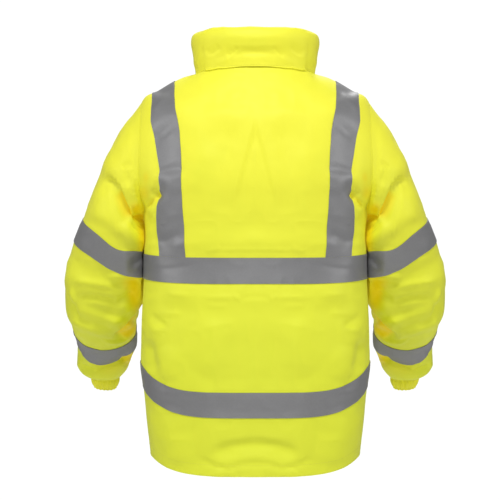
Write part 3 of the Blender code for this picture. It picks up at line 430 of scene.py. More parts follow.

# %% [markdown]
# ## Creases
# Coated polyester doesn't fall in round waves. It breaks into small sharp creases where it is bent, and keeps
# broad flat facets between them. Cloth simulation could find such creases, but not at chosen places, so each
# crease is placed one by one as a line on the panel. A row of the table gives its two ends, how far it bows,
# and its width and height, and a negative height is a trough. The edge goes from 0, a soft wave, to 1, a fold
# like a tent, and the lean makes one flank wide and the other steep, which is what gives flat facets. A
# little crumple noise fills the plain areas between them.

# %% The table of creases
Crease = namedtuple("Crease", "x z end_x end_z bow width height edge lean", defaults=(0,))
BACK_CREASES = (
    Crease(0.080, -0.357, -0.079, -0.357, -0.002, 0.0034, 0.0018, 0.8, 0.0),   # above the waist tape
    Crease(0.095, -0.360, 0.068, -0.351, 0.000, 0.0045, 0.0014, 0.8, 0.0),
    Crease(0.097, -0.446, 0.043, -0.445, 0.000, 0.0036, 0.0018, 0.8, 0.3),   # below the waist tape
    Crease(0.043, -0.444, 0.028, -0.451, 0.000, 0.0030, 0.0016, 0.8, 0.0),
    Crease(0.028, -0.450, -0.027, -0.450, -0.004, 0.0045, -0.0014, 0.7, -0.3),
    Crease(0.168, -0.440, 0.128, -0.444, 0.000, 0.0045, 0.0014, 0.8, 0.0),
    Crease(0.093, -0.463, 0.055, -0.464, 0.000, 0.0035, 0.0014, 0.8, 0.0),
    Crease(0.101, -0.508, 0.043, -0.496, 0.000, 0.0060, 0.0012, 0.8, -0.4),
    Crease(0.187, -0.479, 0.145, -0.478, 0.000, 0.0036, 0.0026, 0.9, 0.0),
    Crease(0.202, -0.482, 0.170, -0.507, 0.000, 0.0065, -0.0040, 0.9, 0.4),   # two that meet at the side
    Crease(0.202, -0.515, 0.169, -0.507, 0.000, 0.0050, 0.0034, 0.9, -0.4),
    Crease(0.206, -0.533, 0.193, -0.590, 0.000, 0.0120, -0.0058, 0.8, 0.3),   # hollow beside the side seam
    Crease(0.183, -0.548, 0.160, -0.604, 0.004, 0.0220, 0.0040, 0.6, 0.0),
    Crease(0.149, -0.452, 0.156, -0.560, 0.006, 0.0240, -0.0036, 0.6, 0.0),
    Crease(0.083, -0.487, 0.095, -0.590, -0.006, 0.0260, 0.0032, 0.6, 0.0),
    Crease(0.034, -0.519, 0.024, -0.615, 0.004, 0.0240, -0.0024, 0.6, 0.0),
    Crease(0.001, -0.103, 0.043, -0.260, 0.000, 0.0110, 0.0022, 0.9, 0.6),   # press creases of the back
    Crease(0.011, -0.145, 0.020, -0.272, 0.000, 0.0120, -0.0016, 0.8, 0.0),
    Crease(0.043, -0.126, 0.072, -0.214, 0.000, 0.0160, -0.0018, 0.8, 0.4),
    Crease(0.082, -0.744, -0.081, -0.744, -0.016, 0.0115, -0.0048, 0.9, 0.2),   # crescent over the hem
    Crease(0.106, -0.757, 0.053, -0.774, 0.002, 0.0045, -0.0030, 0.9, 0.3),
    Crease(0.055, -0.775, -0.054, -0.775, -0.012, 0.0050, -0.0034, 0.9, 0.3),
    Crease(0.070, -0.778, 0.064, -0.794, 0.000, 0.0160, 0.0030, 0.5, 0.0),   # lobes down to the hem
    Crease(0.153, -0.629, 0.080, -0.636, -0.002, 0.0200, 0.0024, 0.6, 0.0),
    Crease(0.168, -0.682, 0.153, -0.767, 0.000, 0.0240, 0.0040, 0.6, 0.0),
    Crease(0.126, -0.690, 0.108, -0.778, 0.000, 0.0200, -0.0034, 0.6, 0.0),
    Crease(0.187, -0.243, 0.213, -0.270, -0.002, 0.0060, -0.0085, 0.9, -0.5),   # into the armpit
    Crease(0.199, -0.239, 0.187, -0.256, 0.000, 0.0060, -0.0060, 0.9, 0.0),
    Crease(0.191, -0.252, 0.208, -0.287, 0.002, 0.0080, 0.0050, 0.6, 0.0),
    Crease(0.212, -0.310, 0.210, -0.356, -0.002, 0.0100, 0.0036, 0.5, 0.0),
    Crease(0.194, -0.142, 0.148, -0.110, 0.000, 0.0080, -0.0026, 1.0, -0.3),   # facets of the brace tape
    Crease(0.195, -0.205, 0.137, -0.195, 0.000, 0.0060, -0.0030, 1.0, 0.4),
    Crease(0.199, -0.083, 0.168, -0.049, 0.000, 0.0060, 0.0016, 1.0, 0.0),
    Crease(0.185, -0.343, 0.145, -0.321, 0.000, 0.0100, -0.0026, 0.9, 0.4),
    Crease(0.187, -0.392, 0.106, -0.377, 0.004, 0.0050, -0.0010, 0.9, 0.3),   # in the waist tape
    Crease(0.037, -0.368, 0.053, -0.421, 0.000, 0.0120, 0.0006, 0.8, 0.5),
    Crease(0.133, -0.636, 0.153, -0.667, 0.000, 0.0120, -0.0020, 0.8, 0.4),   # in the lower tape
    Crease(0.187, -0.598, 0.174, -0.625, 0.000, 0.0090, -0.0020, 0.8, 0.4),
    Crease(0.097, -0.064, 0.080, -0.164, 0.008, 0.0350, -0.0034, 0.4, 0.0),   # inside the shoulder
)
SLEEVE_BACK_CREASES = (
    Crease(0.288, -0.214, 0.264, -0.238, -0.003, 0.0060, -0.0075, 0.9, 0.7),   # into the armpit
    Crease(0.264, -0.238, 0.240, -0.291, 0.002, 0.0075, -0.0100, 0.9, 0.7),
    Crease(0.254, -0.226, 0.229, -0.270, 0.000, 0.0130, 0.0062, 0.4, 0.0),   # puffed out behind it
    Crease(0.240, -0.290, 0.217, -0.289, 0.000, 0.0050, -0.0085, 0.9, 0.6),
    Crease(0.244, -0.268, 0.215, -0.273, 0.000, 0.0080, 0.0040, 0.4, 0.0),
    Crease(0.239, -0.295, 0.219, -0.315, 0.000, 0.0060, -0.0050, 0.9, 0.5),
    Crease(0.219, -0.258, 0.207, -0.244, 0.000, 0.0060, -0.0070, 0.8, 0.0),
    Crease(0.225, -0.112, 0.226, -0.211, 0.000, 0.0085, -0.0048, 0.7, 0.5),   # beside the armhole's seam
    Crease(0.213, -0.130, 0.207, -0.228, 0.000, 0.0110, 0.0040, 0.3, 0.0),
    Crease(0.245, -0.185, 0.262, -0.195, 0.000, 0.0035, -0.0026, 0.8, 0.0),   # puckers
    Crease(0.250, -0.201, 0.239, -0.203, 0.000, 0.0030, 0.0022, 0.8, 0.0),
    Crease(0.248, -0.209, 0.235, -0.211, 0.000, 0.0030, 0.0024, 0.8, 0.0),
    Crease(0.244, -0.217, 0.231, -0.218, 0.000, 0.0030, 0.0024, 0.8, 0.0),
    Crease(0.242, -0.226, 0.229, -0.228, 0.000, 0.0030, 0.0022, 0.8, 0.0),
    Crease(0.240, -0.236, 0.225, -0.238, 0.000, 0.0030, 0.0026, 0.8, 0.0),
    Crease(0.239, -0.246, 0.223, -0.248, 0.000, 0.0030, 0.0024, 0.8, 0.0),
    Crease(0.235, -0.256, 0.221, -0.257, 0.000, 0.0030, 0.0022, 0.8, 0.0),
    Crease(0.286, -0.224, 0.287, -0.266, 0.000, 0.0030, 0.0016, 0.9, 0.6),   # a press line on the sleeve
    Crease(0.287, -0.266, 0.268, -0.336, -0.003, 0.0030, 0.0018, 0.9, 0.6),
    Crease(0.309, -0.159, 0.282, -0.211, 0.000, 0.0220, 0.0036, 0.3, 0.0),
    Crease(0.297, -0.238, 0.313, -0.301, 0.000, 0.0240, 0.0040, 0.3, 0.0),
    Crease(0.252, -0.301, 0.233, -0.348, 0.004, 0.0150, 0.0046, 0.3, 0.0),
    Crease(0.217, -0.362, 0.246, -0.391, -0.002, 0.0060, -0.0026, 0.9, 0.6),   # in the upper tape
    Crease(0.258, -0.356, 0.254, -0.403, 0.000, 0.0100, 0.0024, 0.8, 0.0),
    Crease(0.363, -0.420, 0.284, -0.431, -0.003, 0.0050, 0.0049, 1.0, -0.2),   # under the upper tape
    Crease(0.354, -0.450, 0.274, -0.462, -0.003, 0.0065, -0.0076, 1.0, 0.0),
    Crease(0.274, -0.462, 0.242, -0.444, 0.000, 0.0065, -0.0061, 1.0, 0.0),
    Crease(0.358, -0.472, 0.262, -0.502, 0.000, 0.0085, 0.0049, 1.0, 0.3),   # long facets over the elbow
    Crease(0.369, -0.492, 0.302, -0.522, 0.000, 0.0070, -0.0049, 1.0, -0.3),
    Crease(0.338, -0.506, 0.286, -0.535, 0.000, 0.0080, 0.0041, 1.0, 0.2),
    Crease(0.290, -0.410, 0.226, -0.410, -0.002, 0.0045, 0.0049, 1.0, -0.3),   # triangle under the tape
    Crease(0.282, -0.426, 0.224, -0.418, 0.000, 0.0050, -0.0049, 1.0, 0.0),
    Crease(0.373, -0.436, 0.362, -0.462, 0.000, 0.0040, 0.0049, 1.0, 0.0),
    Crease(0.369, -0.464, 0.358, -0.492, 0.000, 0.0050, -0.0041, 1.0, 0.0),
    Crease(0.228, -0.416, 0.238, -0.468, 0.004, 0.0120, -0.0061, 0.8, 0.0),
    Crease(0.238, -0.483, 0.284, -0.526, -0.002, 0.0060, -0.0090, 1.0, -0.8),   # crook of the elbow
    Crease(0.250, -0.468, 0.294, -0.508, 0.000, 0.0120, 0.0068, 0.8, 0.0),
    Crease(0.246, -0.508, 0.274, -0.531, 0.000, 0.0120, 0.0061, 0.6, 0.0),
    Crease(0.312, -0.537, 0.262, -0.537, 0.007, 0.0045, 0.0041, 1.0, 0.5),   # over the forearm tape
    Crease(0.367, -0.596, 0.332, -0.609, 0.000, 0.0060, -0.0070, 1.0, 0.5),   # below the forearm tape
    Crease(0.332, -0.609, 0.252, -0.579, 0.002, 0.0060, -0.0064, 1.0, -0.6),
    Crease(0.357, -0.569, 0.340, -0.594, 0.000, 0.0080, 0.0030, 0.6, 0.0),
    Crease(0.277, -0.581, 0.265, -0.598, 0.000, 0.0070, -0.0040, 0.8, 0.0),
)
FRONT_CREASES = (
    Crease(0.204, -0.250, 0.150, -0.215, 0.004, 0.0080, -0.0063, 0.8),   # from the armpit over the chest
    Crease(0.208, -0.272, 0.165, -0.262, 0.002, 0.0060, -0.0047, 0.8),
    Crease(0.196, -0.222, 0.150, -0.190, 0.003, 0.0120, 0.0047, 0.4),
    Crease(0.022, -0.120, 0.070, -0.170, 0.004, 0.0100, -0.0036, 0.6),   # beside the zip
    Crease(0.018, -0.210, 0.060, -0.262, -0.003, 0.0090, 0.0029, 0.6),
    Crease(0.030, -0.345, 0.105, -0.352, 0.000, 0.0040, 0.0025, 0.8),    # round the waist tape
    Crease(0.150, -0.385, 0.080, -0.372, 0.000, 0.0040, 0.0022, 0.8),
    Crease(0.050, -0.432, 0.150, -0.440, -0.003, 0.0060, 0.0032, 0.7),
    Crease(0.120, -0.462, 0.195, -0.450, 0.002, 0.0050, -0.0036, 0.8),
    Crease(0.100, -0.470, 0.090, -0.560, 0.004, 0.0300, -0.0045, 0.3),
    Crease(0.200, -0.500, 0.165, -0.560, 0.004, 0.0120, -0.0058, 0.5),
    Crease(0.030, -0.500, 0.048, -0.565, 0.000, 0.0160, 0.0040, 0.3),
    Crease(0.120, -0.600, 0.180, -0.590, 0.000, 0.0050, 0.0022, 0.7),    # in the lower tape
    Crease(0.040, -0.660, 0.060, -0.750, 0.006, 0.0200, 0.0054, 0.3),    # lobes down to the hem
    Crease(0.130, -0.650, 0.140, -0.750, -0.005, 0.0240, -0.0050, 0.3),
    Crease(0.030, -0.715, 0.110, -0.728, 0.008, 0.0070, -0.0036, 0.6),
    Crease(0.188, -0.150, 0.150, -0.120, 0.000, 0.0060, 0.0025, 0.7),    # across the brace tapes
    Crease(0.185, -0.240, 0.145, -0.250, 0.000, 0.0070, -0.0025, 0.5),
)
SLEEVE_FRONT_CREASES = (
    Crease(0.288, -0.190, 0.246, -0.238, 0.003, 0.0080, -0.0076, 0.8),   # into the front of the armpit
    Crease(0.262, -0.228, 0.232, -0.280, 0.002, 0.0070, -0.0072, 0.9),
    Crease(0.270, -0.196, 0.238, -0.222, 0.000, 0.0110, 0.0054, 0.3),
    Crease(0.246, -0.262, 0.224, -0.306, 0.000, 0.0050, -0.0047, 0.8),
    Crease(0.300, -0.250, 0.262, -0.320, -0.004, 0.0140, 0.0043, 0.3),
    Crease(0.340, -0.330, 0.290, -0.352, 0.000, 0.0060, 0.0022, 0.7),    # in the upper tape
    Crease(0.352, -0.398, 0.300, -0.420, 0.002, 0.0060, -0.0047, 0.8),   # under it
    Crease(0.310, -0.404, 0.252, -0.412, -0.002, 0.0060, -0.0043, 0.8),
    Crease(0.372, -0.440, 0.322, -0.452, 0.002, 0.0080, 0.0043, 0.6),
    Crease(0.345, -0.470, 0.262, -0.452, 0.004, 0.0080, -0.0079, 0.9),   # crook of the elbow
    Crease(0.330, -0.492, 0.252, -0.484, 0.003, 0.0070, -0.0065, 0.9),
    Crease(0.350, -0.452, 0.280, -0.436, 0.003, 0.0110, 0.0054, 0.4),
    Crease(0.368, -0.505, 0.300, -0.502, 0.002, 0.0070, 0.0040, 0.6),
    Crease(0.366, -0.560, 0.330, -0.596, -0.002, 0.0090, 0.0043, 0.5),   # below the forearm tape
    Crease(0.340, -0.588, 0.300, -0.612, 0.000, 0.0070, -0.0043, 0.7),
    Crease(0.300, -0.572, 0.268, -0.590, 0.000, 0.0070, -0.0036, 0.7),
)
print("creases:", len(BACK_CREASES), "on the back,", len(FRONT_CREASES), "on each front,",
      len(SLEEVE_BACK_CREASES) + len(SLEEVE_FRONT_CREASES), "on each sleeve")

# %% [markdown]
# Light that bounces between two layers of fluorescent cloth loses its green at every bounce, so the cloth
# looks
# orange where it faces itself: in the deepest creases and where the sleeve rests against the body. The path
# tracer follows only a few such bounces and knows nothing of fluorescence, so this orange is painted shade:
# the places are named here, each a soft oval patch, and the finish reads its strength from the mesh. Painting
# it into an image would need a file, and a mask that follows the shape of the folds is cheaper as one number
# a point.

# %% Where orange shade is painted on the cloth
# Patches of painted orange shade: where they are, how far they reach and how strong they are.
ShadePatch = namedtuple("ShadePatch", "x z reach_x reach_z strength")
SLEEVE_SHADE_PATCHES = (
    ShadePatch(0.238, -0.445, 0.016, 0.042, 0.95),    # beside the body under the upper tape
    ShadePatch(0.256, -0.420, 0.016, 0.018, 0.35),
    ShadePatch(0.260, -0.520, 0.016, 0.018, 0.95),    # below the crook of the elbow
    ShadePatch(0.258, -0.582, 0.018, 0.018, 0.80),    # inside the wrist
    ShadePatch(0.300, -0.604, 0.045, 0.022, 0.32),
    ShadePatch(0.236, -0.275, 0.011, 0.014, 0.90),    # below the armpit
    ShadePatch(0.226, -0.330, 0.010, 0.050, 0.65),
    ShadePatch(0.212, -0.340, 0.010, 0.110, 0.90),    # where the sleeve rests against the body
)
BACK_SHADE_PATCHES = (
    ShadePatch(0.216, -0.245, 0.012, 0.016, 0.55),
    ShadePatch(0.212, -0.215, 0.008, 0.012, 0.45),
    ShadePatch(0.228, -0.370, 0.007, 0.100, 0.90),    # where the sleeve rests against the side
)

def painted_shade_at(x, z, shade_patches):
    """How much orange shade is painted on the cloth at places given by how far they are from the centre and
    how high.
    """
    total = np.zeros_like(x)
    for shade_patch in shade_patches:
        away = -((x - shade_patch.x) / shade_patch.reach_x) ** 2 - ((z - shade_patch.z) / shade_patch.reach_z) ** 2
        total += shade_patch.strength * np.exp(away)
    return total


print("orange patches:", len(BACK_SHADE_PATCHES), "on each half of the back and", len(SLEEVE_SHADE_PATCHES), "on each sleeve")

# %% How high the creases lift the cloth
TENT_REACH = 1.7            # how many widths the straight flank of a sharp crease reaches
# Painted shade: a trough deeper than this gets painted orange, for the light that bounces inside it.
PAINTED_SHADE_FROM_DEPTH = 0.0076          # a trough that is deeper than this looks orange
END_OVERRUN, END_FADE = 0.12, 0.34    # of a crease's length: how far past its end it goes, and fades

def creases_at(x, z, creases):
    """The height that the creases add at each place, and how deep the place is in a trough, for the painted
    orange shade.
    """
    height, depth = np.zeros_like(x), np.zeros_like(x)
    for crease in creases:
        run_x, run_z = crease.end_x - crease.x, crease.end_z - crease.z
        length = math.hypot(run_x, run_z)
        share = ((x - crease.x) * run_x + (z - crease.z) * run_z) / length ** 2
        off = ((z - crease.z) * run_x - (x - crease.x) * run_z) / length
        inside = np.clip(share, 0, 1)
        off = off - 4 * crease.bow * inside * (1 - inside)
        off = np.abs(off) / (crease.width * (1 + crease.lean * np.sign(off)))
        ends = eased((share + END_OVERRUN) / END_FADE) * eased((1 + END_OVERRUN - share) / END_FADE)
        line = (1 - crease.edge) * np.exp(-off ** 2) + crease.edge * np.clip(1 - off / TENT_REACH, 0, 1)
        height += crease.height * ends * line
        depth += max(-crease.height - PAINTED_SHADE_FROM_DEPTH, 0) * ends * line
    return height, depth


# %% [markdown]
# The crumple between the creases is value noise: random numbers on a lattice of points, smoothed between
# them. The numbers come from a sum of whole numbers and not from a random generator, so every run gives the
# same cloth. Folding the noise at its middle turns its soft hills into thin ridges, as in a coated cloth.

# %% Crumple noise
CRUMPLE_STRETCH = np.array([0.8, 0.8, 1.15])    # the ridges run more across than down
CrumpleLayer = namedtuple("CrumpleLayer", "size height middle seed_step is_ridged")
CRUMPLE = (
    CrumpleLayer(0.050, 0.0022, 0.7, 0, True),      # papery ridges
    CrumpleLayer(0.090, 0.0050, 0.5, 7, False),     # broad shallow facets
    CrumpleLayer(0.024, 0.0013, 0.7, 13, True),     # small ridges between them
)

def lattice_value(cell, seed):
    """A fixed number from 0 to 1 for each whole-number cell."""
    cell = cell.astype(np.int64).astype(np.uint32)
    mix = cell[..., 0] * np.uint32(374761393) + cell[..., 1] * np.uint32(668265263)
    mix = mix + cell[..., 2] * np.uint32(2246822519) + np.uint32(seed)
    mix = (mix ^ (mix >> np.uint32(13))) * np.uint32(1274126177)
    return ((mix ^ (mix >> np.uint32(16))) & np.uint32(0xFFFF)) / 65535.0


def value_noise(points, size, seed):
    scaled = points / size
    cell = np.floor(scaled)
    part = eased(scaled - cell)
    total = np.zeros(points.shape[:-1])
    for corner in np.ndindex(2, 2, 2):
        corner = np.array(corner)
        weight = np.prod(np.where(corner == 1, part, 1 - part), axis=-1)
        total += weight * lattice_value(cell + corner, seed)
    return total


def crumple(points, seed):
    """Fine papery ridges and shallow facets, in metres, about as much up as down, the same left and right."""
    folded = np.stack([np.abs(points[..., 0]), points[..., 1], points[..., 2]], -1)
    height = np.zeros(points.shape[:-1])
    for layer in CRUMPLE:
        noise = value_noise(folded * CRUMPLE_STRETCH, layer.size, seed + layer.seed_step)
        if layer.is_ridged:
            noise = 1 - np.abs(2 * noise - 1)
        height += layer.height * (noise - layer.middle)
    return height


sample = crumple(body_surface(back_angles, back_rings), 1)
print("crumple goes from", round(1000 * sample.min(), 2), "to", round(1000 * sample.max(), 2), "mm")

# %% [markdown]
# ## The finishes
# A finish here is a Principled shader whose colour, roughness and bump change over the surface. Shader maths
# reads badly as a list of nodes and links, so one small class wraps a socket: writing `1 - mask` or `a * b`
# then adds the Math node for it. Any other node comes from one method, which takes the node's type, its
# settings and what feeds its sockets.

# %% A socket that takes part in sums
class Wire:
    """An output socket of a material, with the arithmetic that Math nodes can do."""

    def __init__(self, finish, socket):
        self.finish, self.socket = finish, socket

    def maths(self, operation, first, second):
        return self.finish.node("ShaderNodeMath", {"operation": operation}, {0: first, 1: second})

    def __add__(self, other):
        return self.maths("ADD", self, other)

    def __radd__(self, other):
        return self.maths("ADD", other, self)

    def __sub__(self, other):
        return self.maths("SUBTRACT", self, other)

    def __rsub__(self, other):
        return self.maths("SUBTRACT", other, self)

    def __mul__(self, other):
        return self.maths("MULTIPLY", self, other)

    def __rmul__(self, other):
        return self.maths("MULTIPLY", other, self)


class Finish:
    """A material whose nodes are added one by one, and whose Principled shader they feed."""

    def __init__(self, name, **constants):
        self.material = bpy.data.materials.new(name)
        self.material.use_nodes = True
        self.tree = self.material.node_tree
        self.shader = self.tree.nodes["Principled BSDF"]
        for label, value in constants.items():
            self.shader.inputs[label.replace("_", " ")].default_value = value

    def feed(self, socket, value):
        """Links a socket to a wire, or sets it to a plain value."""
        if isinstance(value, Wire):
            self.tree.links.new(value.socket, socket)
        else:
            socket.default_value = value

    def node(self, kind, settings=None, values=None, out=0):
        """One of a new node's outputs, with the node's settings made first and then its sockets fed."""
        made = self.tree.nodes.new(kind)
        for key, value in (settings or {}).items():
            setattr(made, key, value)
        for key, value in (values or {}).items():
            self.feed(made.inputs[key], value)
        return Wire(self, made.outputs[out])

    def paint(self, **links):
        """Feeds the shader's own sockets, named with _ for a space."""
        for label, value in links.items():
            self.feed(self.shader.inputs[label.replace("_", " ")], value)

    def mix(self, factor, first, second):
        """A colour on the way from the first to the second."""
        return self.node("ShaderNodeMix", {"data_type": "RGBA"}, {0: factor, 6: first, 7: second}, out=2)

    def noise(self, scale, detail=2.0):
        values = {"Scale": scale, "Detail": detail, "Roughness": 0.55, "Vector": self.place()}
        return self.node("ShaderNodeTexNoise", {}, values)

    def place(self):
        return self.node("ShaderNodeTexCoord", out="Object")

    def ease(self, value, low, high):
        """0 below the low value, 1 above the high one, and a smooth step between."""
        settings = {"interpolation_type": "SMOOTHSTEP"}
        return self.node("ShaderNodeMapRange", settings, {0: value, 1: low, 2: high, 3: 0.0, 4: 1.0})

    def threads(self, pitch):
        """Heights of the two sets of threads of a plain weave, from the cut's own flat coordinates."""
        waves = []
        for axis in (0, 1):
            flat = self.node("ShaderNodeUVMap", {"uv_map": "cut"})
            along = self.node("ShaderNodeSeparateXYZ", {}, {0: flat}, out=axis)
            turns = along * (2 * math.pi / pitch)
            waves.append(self.node("ShaderNodeMath", {"operation": "SINE"}, {0: turns}))
        return waves

    def bump(self, height, strength, distance):
        values = {"Height": height, "Strength": strength, "Distance": distance}
        return self.node("ShaderNodeBump", {}, values)


# %% [markdown]
# ### Hi-vis cloth
# The real cloth is a fluorescent polyester with a waterproof coating behind it. It looks brighter than a
# yellow paint because it turns unseen light into yellow-green, so the shader gives off a very little light of
# its own. A brighter base colour alone would wash out, because no surface may reflect more than it gets. In
# the orange places the base colour is a painted orange shade and that light becomes a painted orange glow.
# The colour is painted darker and greener towards the hem, as painted shade and the tint of the light there,
# and a faint mottling breaks up the flat areas. The threads of the weave are two sine waves along the cut's
# own flat coordinates, so they follow the cloth and don't swim through it.

# %% The hi-vis finishes
# Painted shade: the base colour of the orange places. The plain glow is the fluorescent cloth's own faint
# light; the orange glow is painted.
PAINTED_FOLD_SHADE = (0.82, 0.65, 0.003, 1)                                 # base colour of an orange place
FAINT_GLOW, PAINTED_FOLD_GLOW = (0.03, 0.03, 0.0, 1), (0.50, 0.36, 0.001, 1)    # its own light, plain and orange
# Painted shade: between these heights the colour grows darker and greener towards the hem.
PAINTED_HEM_SHADE_FROM, PAINTED_HEM_SHADE_FULL = -0.05, -0.62                        # heights between which the colour changes

def hi_vis_finish(name, upper, lower, pitch, weave_depth, roughness):
    finish = Finish(name, IOR=1.42, Sheen_Weight=0.03, Sheen_Roughness=0.45, Emission_Strength=0.25)
    height = finish.node("ShaderNodeSeparateXYZ", {}, {0: finish.place()}, out=2)
    # Painted shade, darker and greener towards the hem.
    painted_hem_shade = 1 - finish.ease(height, PAINTED_HEM_SHADE_FULL, PAINTED_HEM_SHADE_FROM)
    mottle = finish.noise(7.0, 3.0)
    colour = finish.mix(painted_hem_shade, upper, lower)
    darker = tuple(c * 0.93 for c in lower[:3]) + (1.0,)
    colour = finish.mix(finish.ease(mottle, 0.50, 0.85) * 0.35, colour, darker)
    # Painted orange shade and painted orange glow, read from the mesh.
    painted_shade = finish.node("ShaderNodeAttribute", {"attribute_name": "painted_shade"}, out=2)
    painted_fold_share = finish.ease(painted_shade, 0.0, 1.0)
    colour = finish.mix(painted_fold_share, colour, PAINTED_FOLD_SHADE)
    first, second = finish.threads(pitch)
    over = finish.node("ShaderNodeMath", {"operation": "MAXIMUM"}, {0: first, 1: second})
    grain = finish.noise(900.0, 1.0)
    relief = over * 0.8 + grain * 0.6
    # Emission: the cloth's own faint light, which turns into a painted orange glow in the painted-shade
    # places.
    finish.paint(Base_Color=colour, Emission_Color=finish.mix(painted_fold_share, FAINT_GLOW, PAINTED_FOLD_GLOW),
                 Roughness=finish.noise(40.0, 2.0) * 0.16 + (roughness - 0.08),
                 Normal=finish.bump(relief, 0.35, weave_depth))
    return finish.material


# The lower colours are the upper ones with painted shade: darker and greener.
HI_VIS = hi_vis_finish("hi_vis_cloth", upper=(0.93, 0.91, 0.047, 1), lower=(0.80, 0.86, 0.038, 1),
                       pitch=0.0007, weave_depth=0.00006, roughness=0.56)
INSIDE = hi_vis_finish("hi_vis_coated_inside", upper=(0.80, 0.80, 0.05, 1), lower=(0.72, 0.78, 0.05, 1),
                       pitch=0.0009, weave_depth=0.00003, roughness=0.42)
print("cloth finishes:", HI_VIS.name, INSIDE.name)

# %% [markdown]
# ### Silver tape
# Reflective tape is cloth covered in tiny glass beads over aluminium. In plain daylight it is a middle grey
# with a dull metallic shine. A metal alone would mirror the studio, and a plain grey would look like paint,
# so the shader is half metal, with a rough surface and beads as a very fine bump.

# %% The tape, thread and zip finishes
def silver_finish():
    finish = Finish("silver_tape_beads", Metallic=0.48, IOR=1.5)
    beads = finish.node("ShaderNodeTexVoronoi", {}, {"Vector": finish.place(), "Scale": 1800.0})
    cloudy = finish.noise(16.0, 3.0)
    fine = finish.noise(260.0, 2.0)
    colour = finish.mix(cloudy * 0.6 + fine * 0.4, (0.225, 0.225, 0.232, 1), (0.300, 0.300, 0.306, 1))
    finish.paint(Base_Color=colour, Roughness=0.44 + cloudy * 0.10,
                 Normal=finish.bump(beads * 0.5 + fine * 0.5, 0.25, 0.00008))
    return finish.material


def thread_finish(name, colour):
    finish = Finish(name, Sheen_Weight=0.2)
    twist = finish.noise(1500.0, 1.0)
    darker = tuple(c * 0.7 for c in colour[:3]) + (1.0,)
    finish.paint(Base_Color=finish.mix(twist, darker, colour), Roughness=0.55 + twist * 0.2)
    return finish.material


def metal_finish():
    finish = Finish("zip_brushed_metal", Metallic=1.0)
    worn = finish.noise(500.0, 3.0)
    colour = finish.mix(worn, (0.42, 0.42, 0.43, 1), (0.60, 0.60, 0.61, 1))
    finish.paint(Base_Color=colour, Roughness=0.26 + worn * 0.22, Normal=finish.bump(worn, 0.15, 0.00004))
    return finish.material


def zip_tape_finish():
    finish = Finish("zip_knitted_tape", Sheen_Weight=0.15)
    first, second = finish.threads(0.0008)
    mottle = finish.noise(120.0, 2.0)
    colour = finish.mix(mottle, (0.56, 0.60, 0.03, 1), (0.74, 0.78, 0.04, 1))
    finish.paint(Base_Color=colour, Roughness=0.72 + mottle * 0.15,
                 Normal=finish.bump(first * second, 0.5, 0.00010))
    return finish.material


SILVER, METAL, ZIP_TAPE = silver_finish(), metal_finish(), zip_tape_finish()
YELLOW_THREAD = thread_finish("yellow_thread", (0.80, 0.80, 0.06, 1))
GREY_THREAD = thread_finish("grey_thread", (0.34, 0.34, 0.35, 1))

# %% [markdown]
# ## Making cloth walls
# Cloth has two faces and an edge. A flat sheet of faces would be invisible edge on, so every piece is a wall:
# a grid of outer points, the same grid moved in by the cloth's thickness, and a rim that joins them. Solidify
# would do the same, but here the rim at the armhole has to be cut at a shared angle, so that body and sleeve
# meet. The mesh also carries the cut's flat coordinates, for the weave, and how much painted orange shade
# each point gets.

# %% Grids, their normals and their flat cut
def grid_normals(grid, is_tube=False):
    """Outward normals of a grid whose rows run up the cloth and whose columns run round it."""
    along = np.roll(grid, -1, 1) - np.roll(grid, 1, 1) if is_tube else np.gradient(grid, axis=1)
    return unit(np.cross(np.gradient(grid, axis=0), along))


def steps_along(grid, axis):
    """How far each point is from the start of its row or column, along the cloth."""
    lengths = np.linalg.norm(np.diff(grid, axis=axis), axis=-1)
    start = np.zeros_like(np.take(lengths, [0], axis=axis))
    return np.concatenate([start, np.cumsum(lengths, axis=axis)], axis=axis)


def closed(grid, is_tube):
    """A tube's grid with its first column again at its end, or a sheet's grid as it is."""
    return np.concatenate([grid, grid[:, :1]], axis=1) if is_tube else grid


def cut_of(grid, is_tube):
    """The flat width and length of the cloth in a grid, and its area."""
    whole = closed(grid, is_tube)
    width, length = steps_along(whole, 1)[:, -1].max(), steps_along(whole, 0)[-1].max()
    across, up = whole[:-1, 1:] - whole[:-1, :-1], whole[1:, :-1] - whole[:-1, :-1]
    area = np.linalg.norm(np.cross(across, up), axis=-1).sum()
    return (round(width + 0.0005, 3), round(length + 0.0005, 3)), round(float(area), 4)


def placed_object(name, data):
    """A new object in the scene that shows a mesh, a light or a camera."""
    piece = bpy.data.objects.new(name, data)
    bpy.context.scene.collection.objects.link(piece)
    return piece


SHARP_FROM = math.radians(55)    # an edge that turns more than this is shaded sharp

def face_outwards(mesh):
    """Turns every face of a closed mesh to the outside."""
    shape = bmesh.new()
    shape.from_mesh(mesh)
    bmesh.ops.recalc_face_normals(shape, faces=shape.faces)
    shape.to_mesh(mesh)
    shape.free()


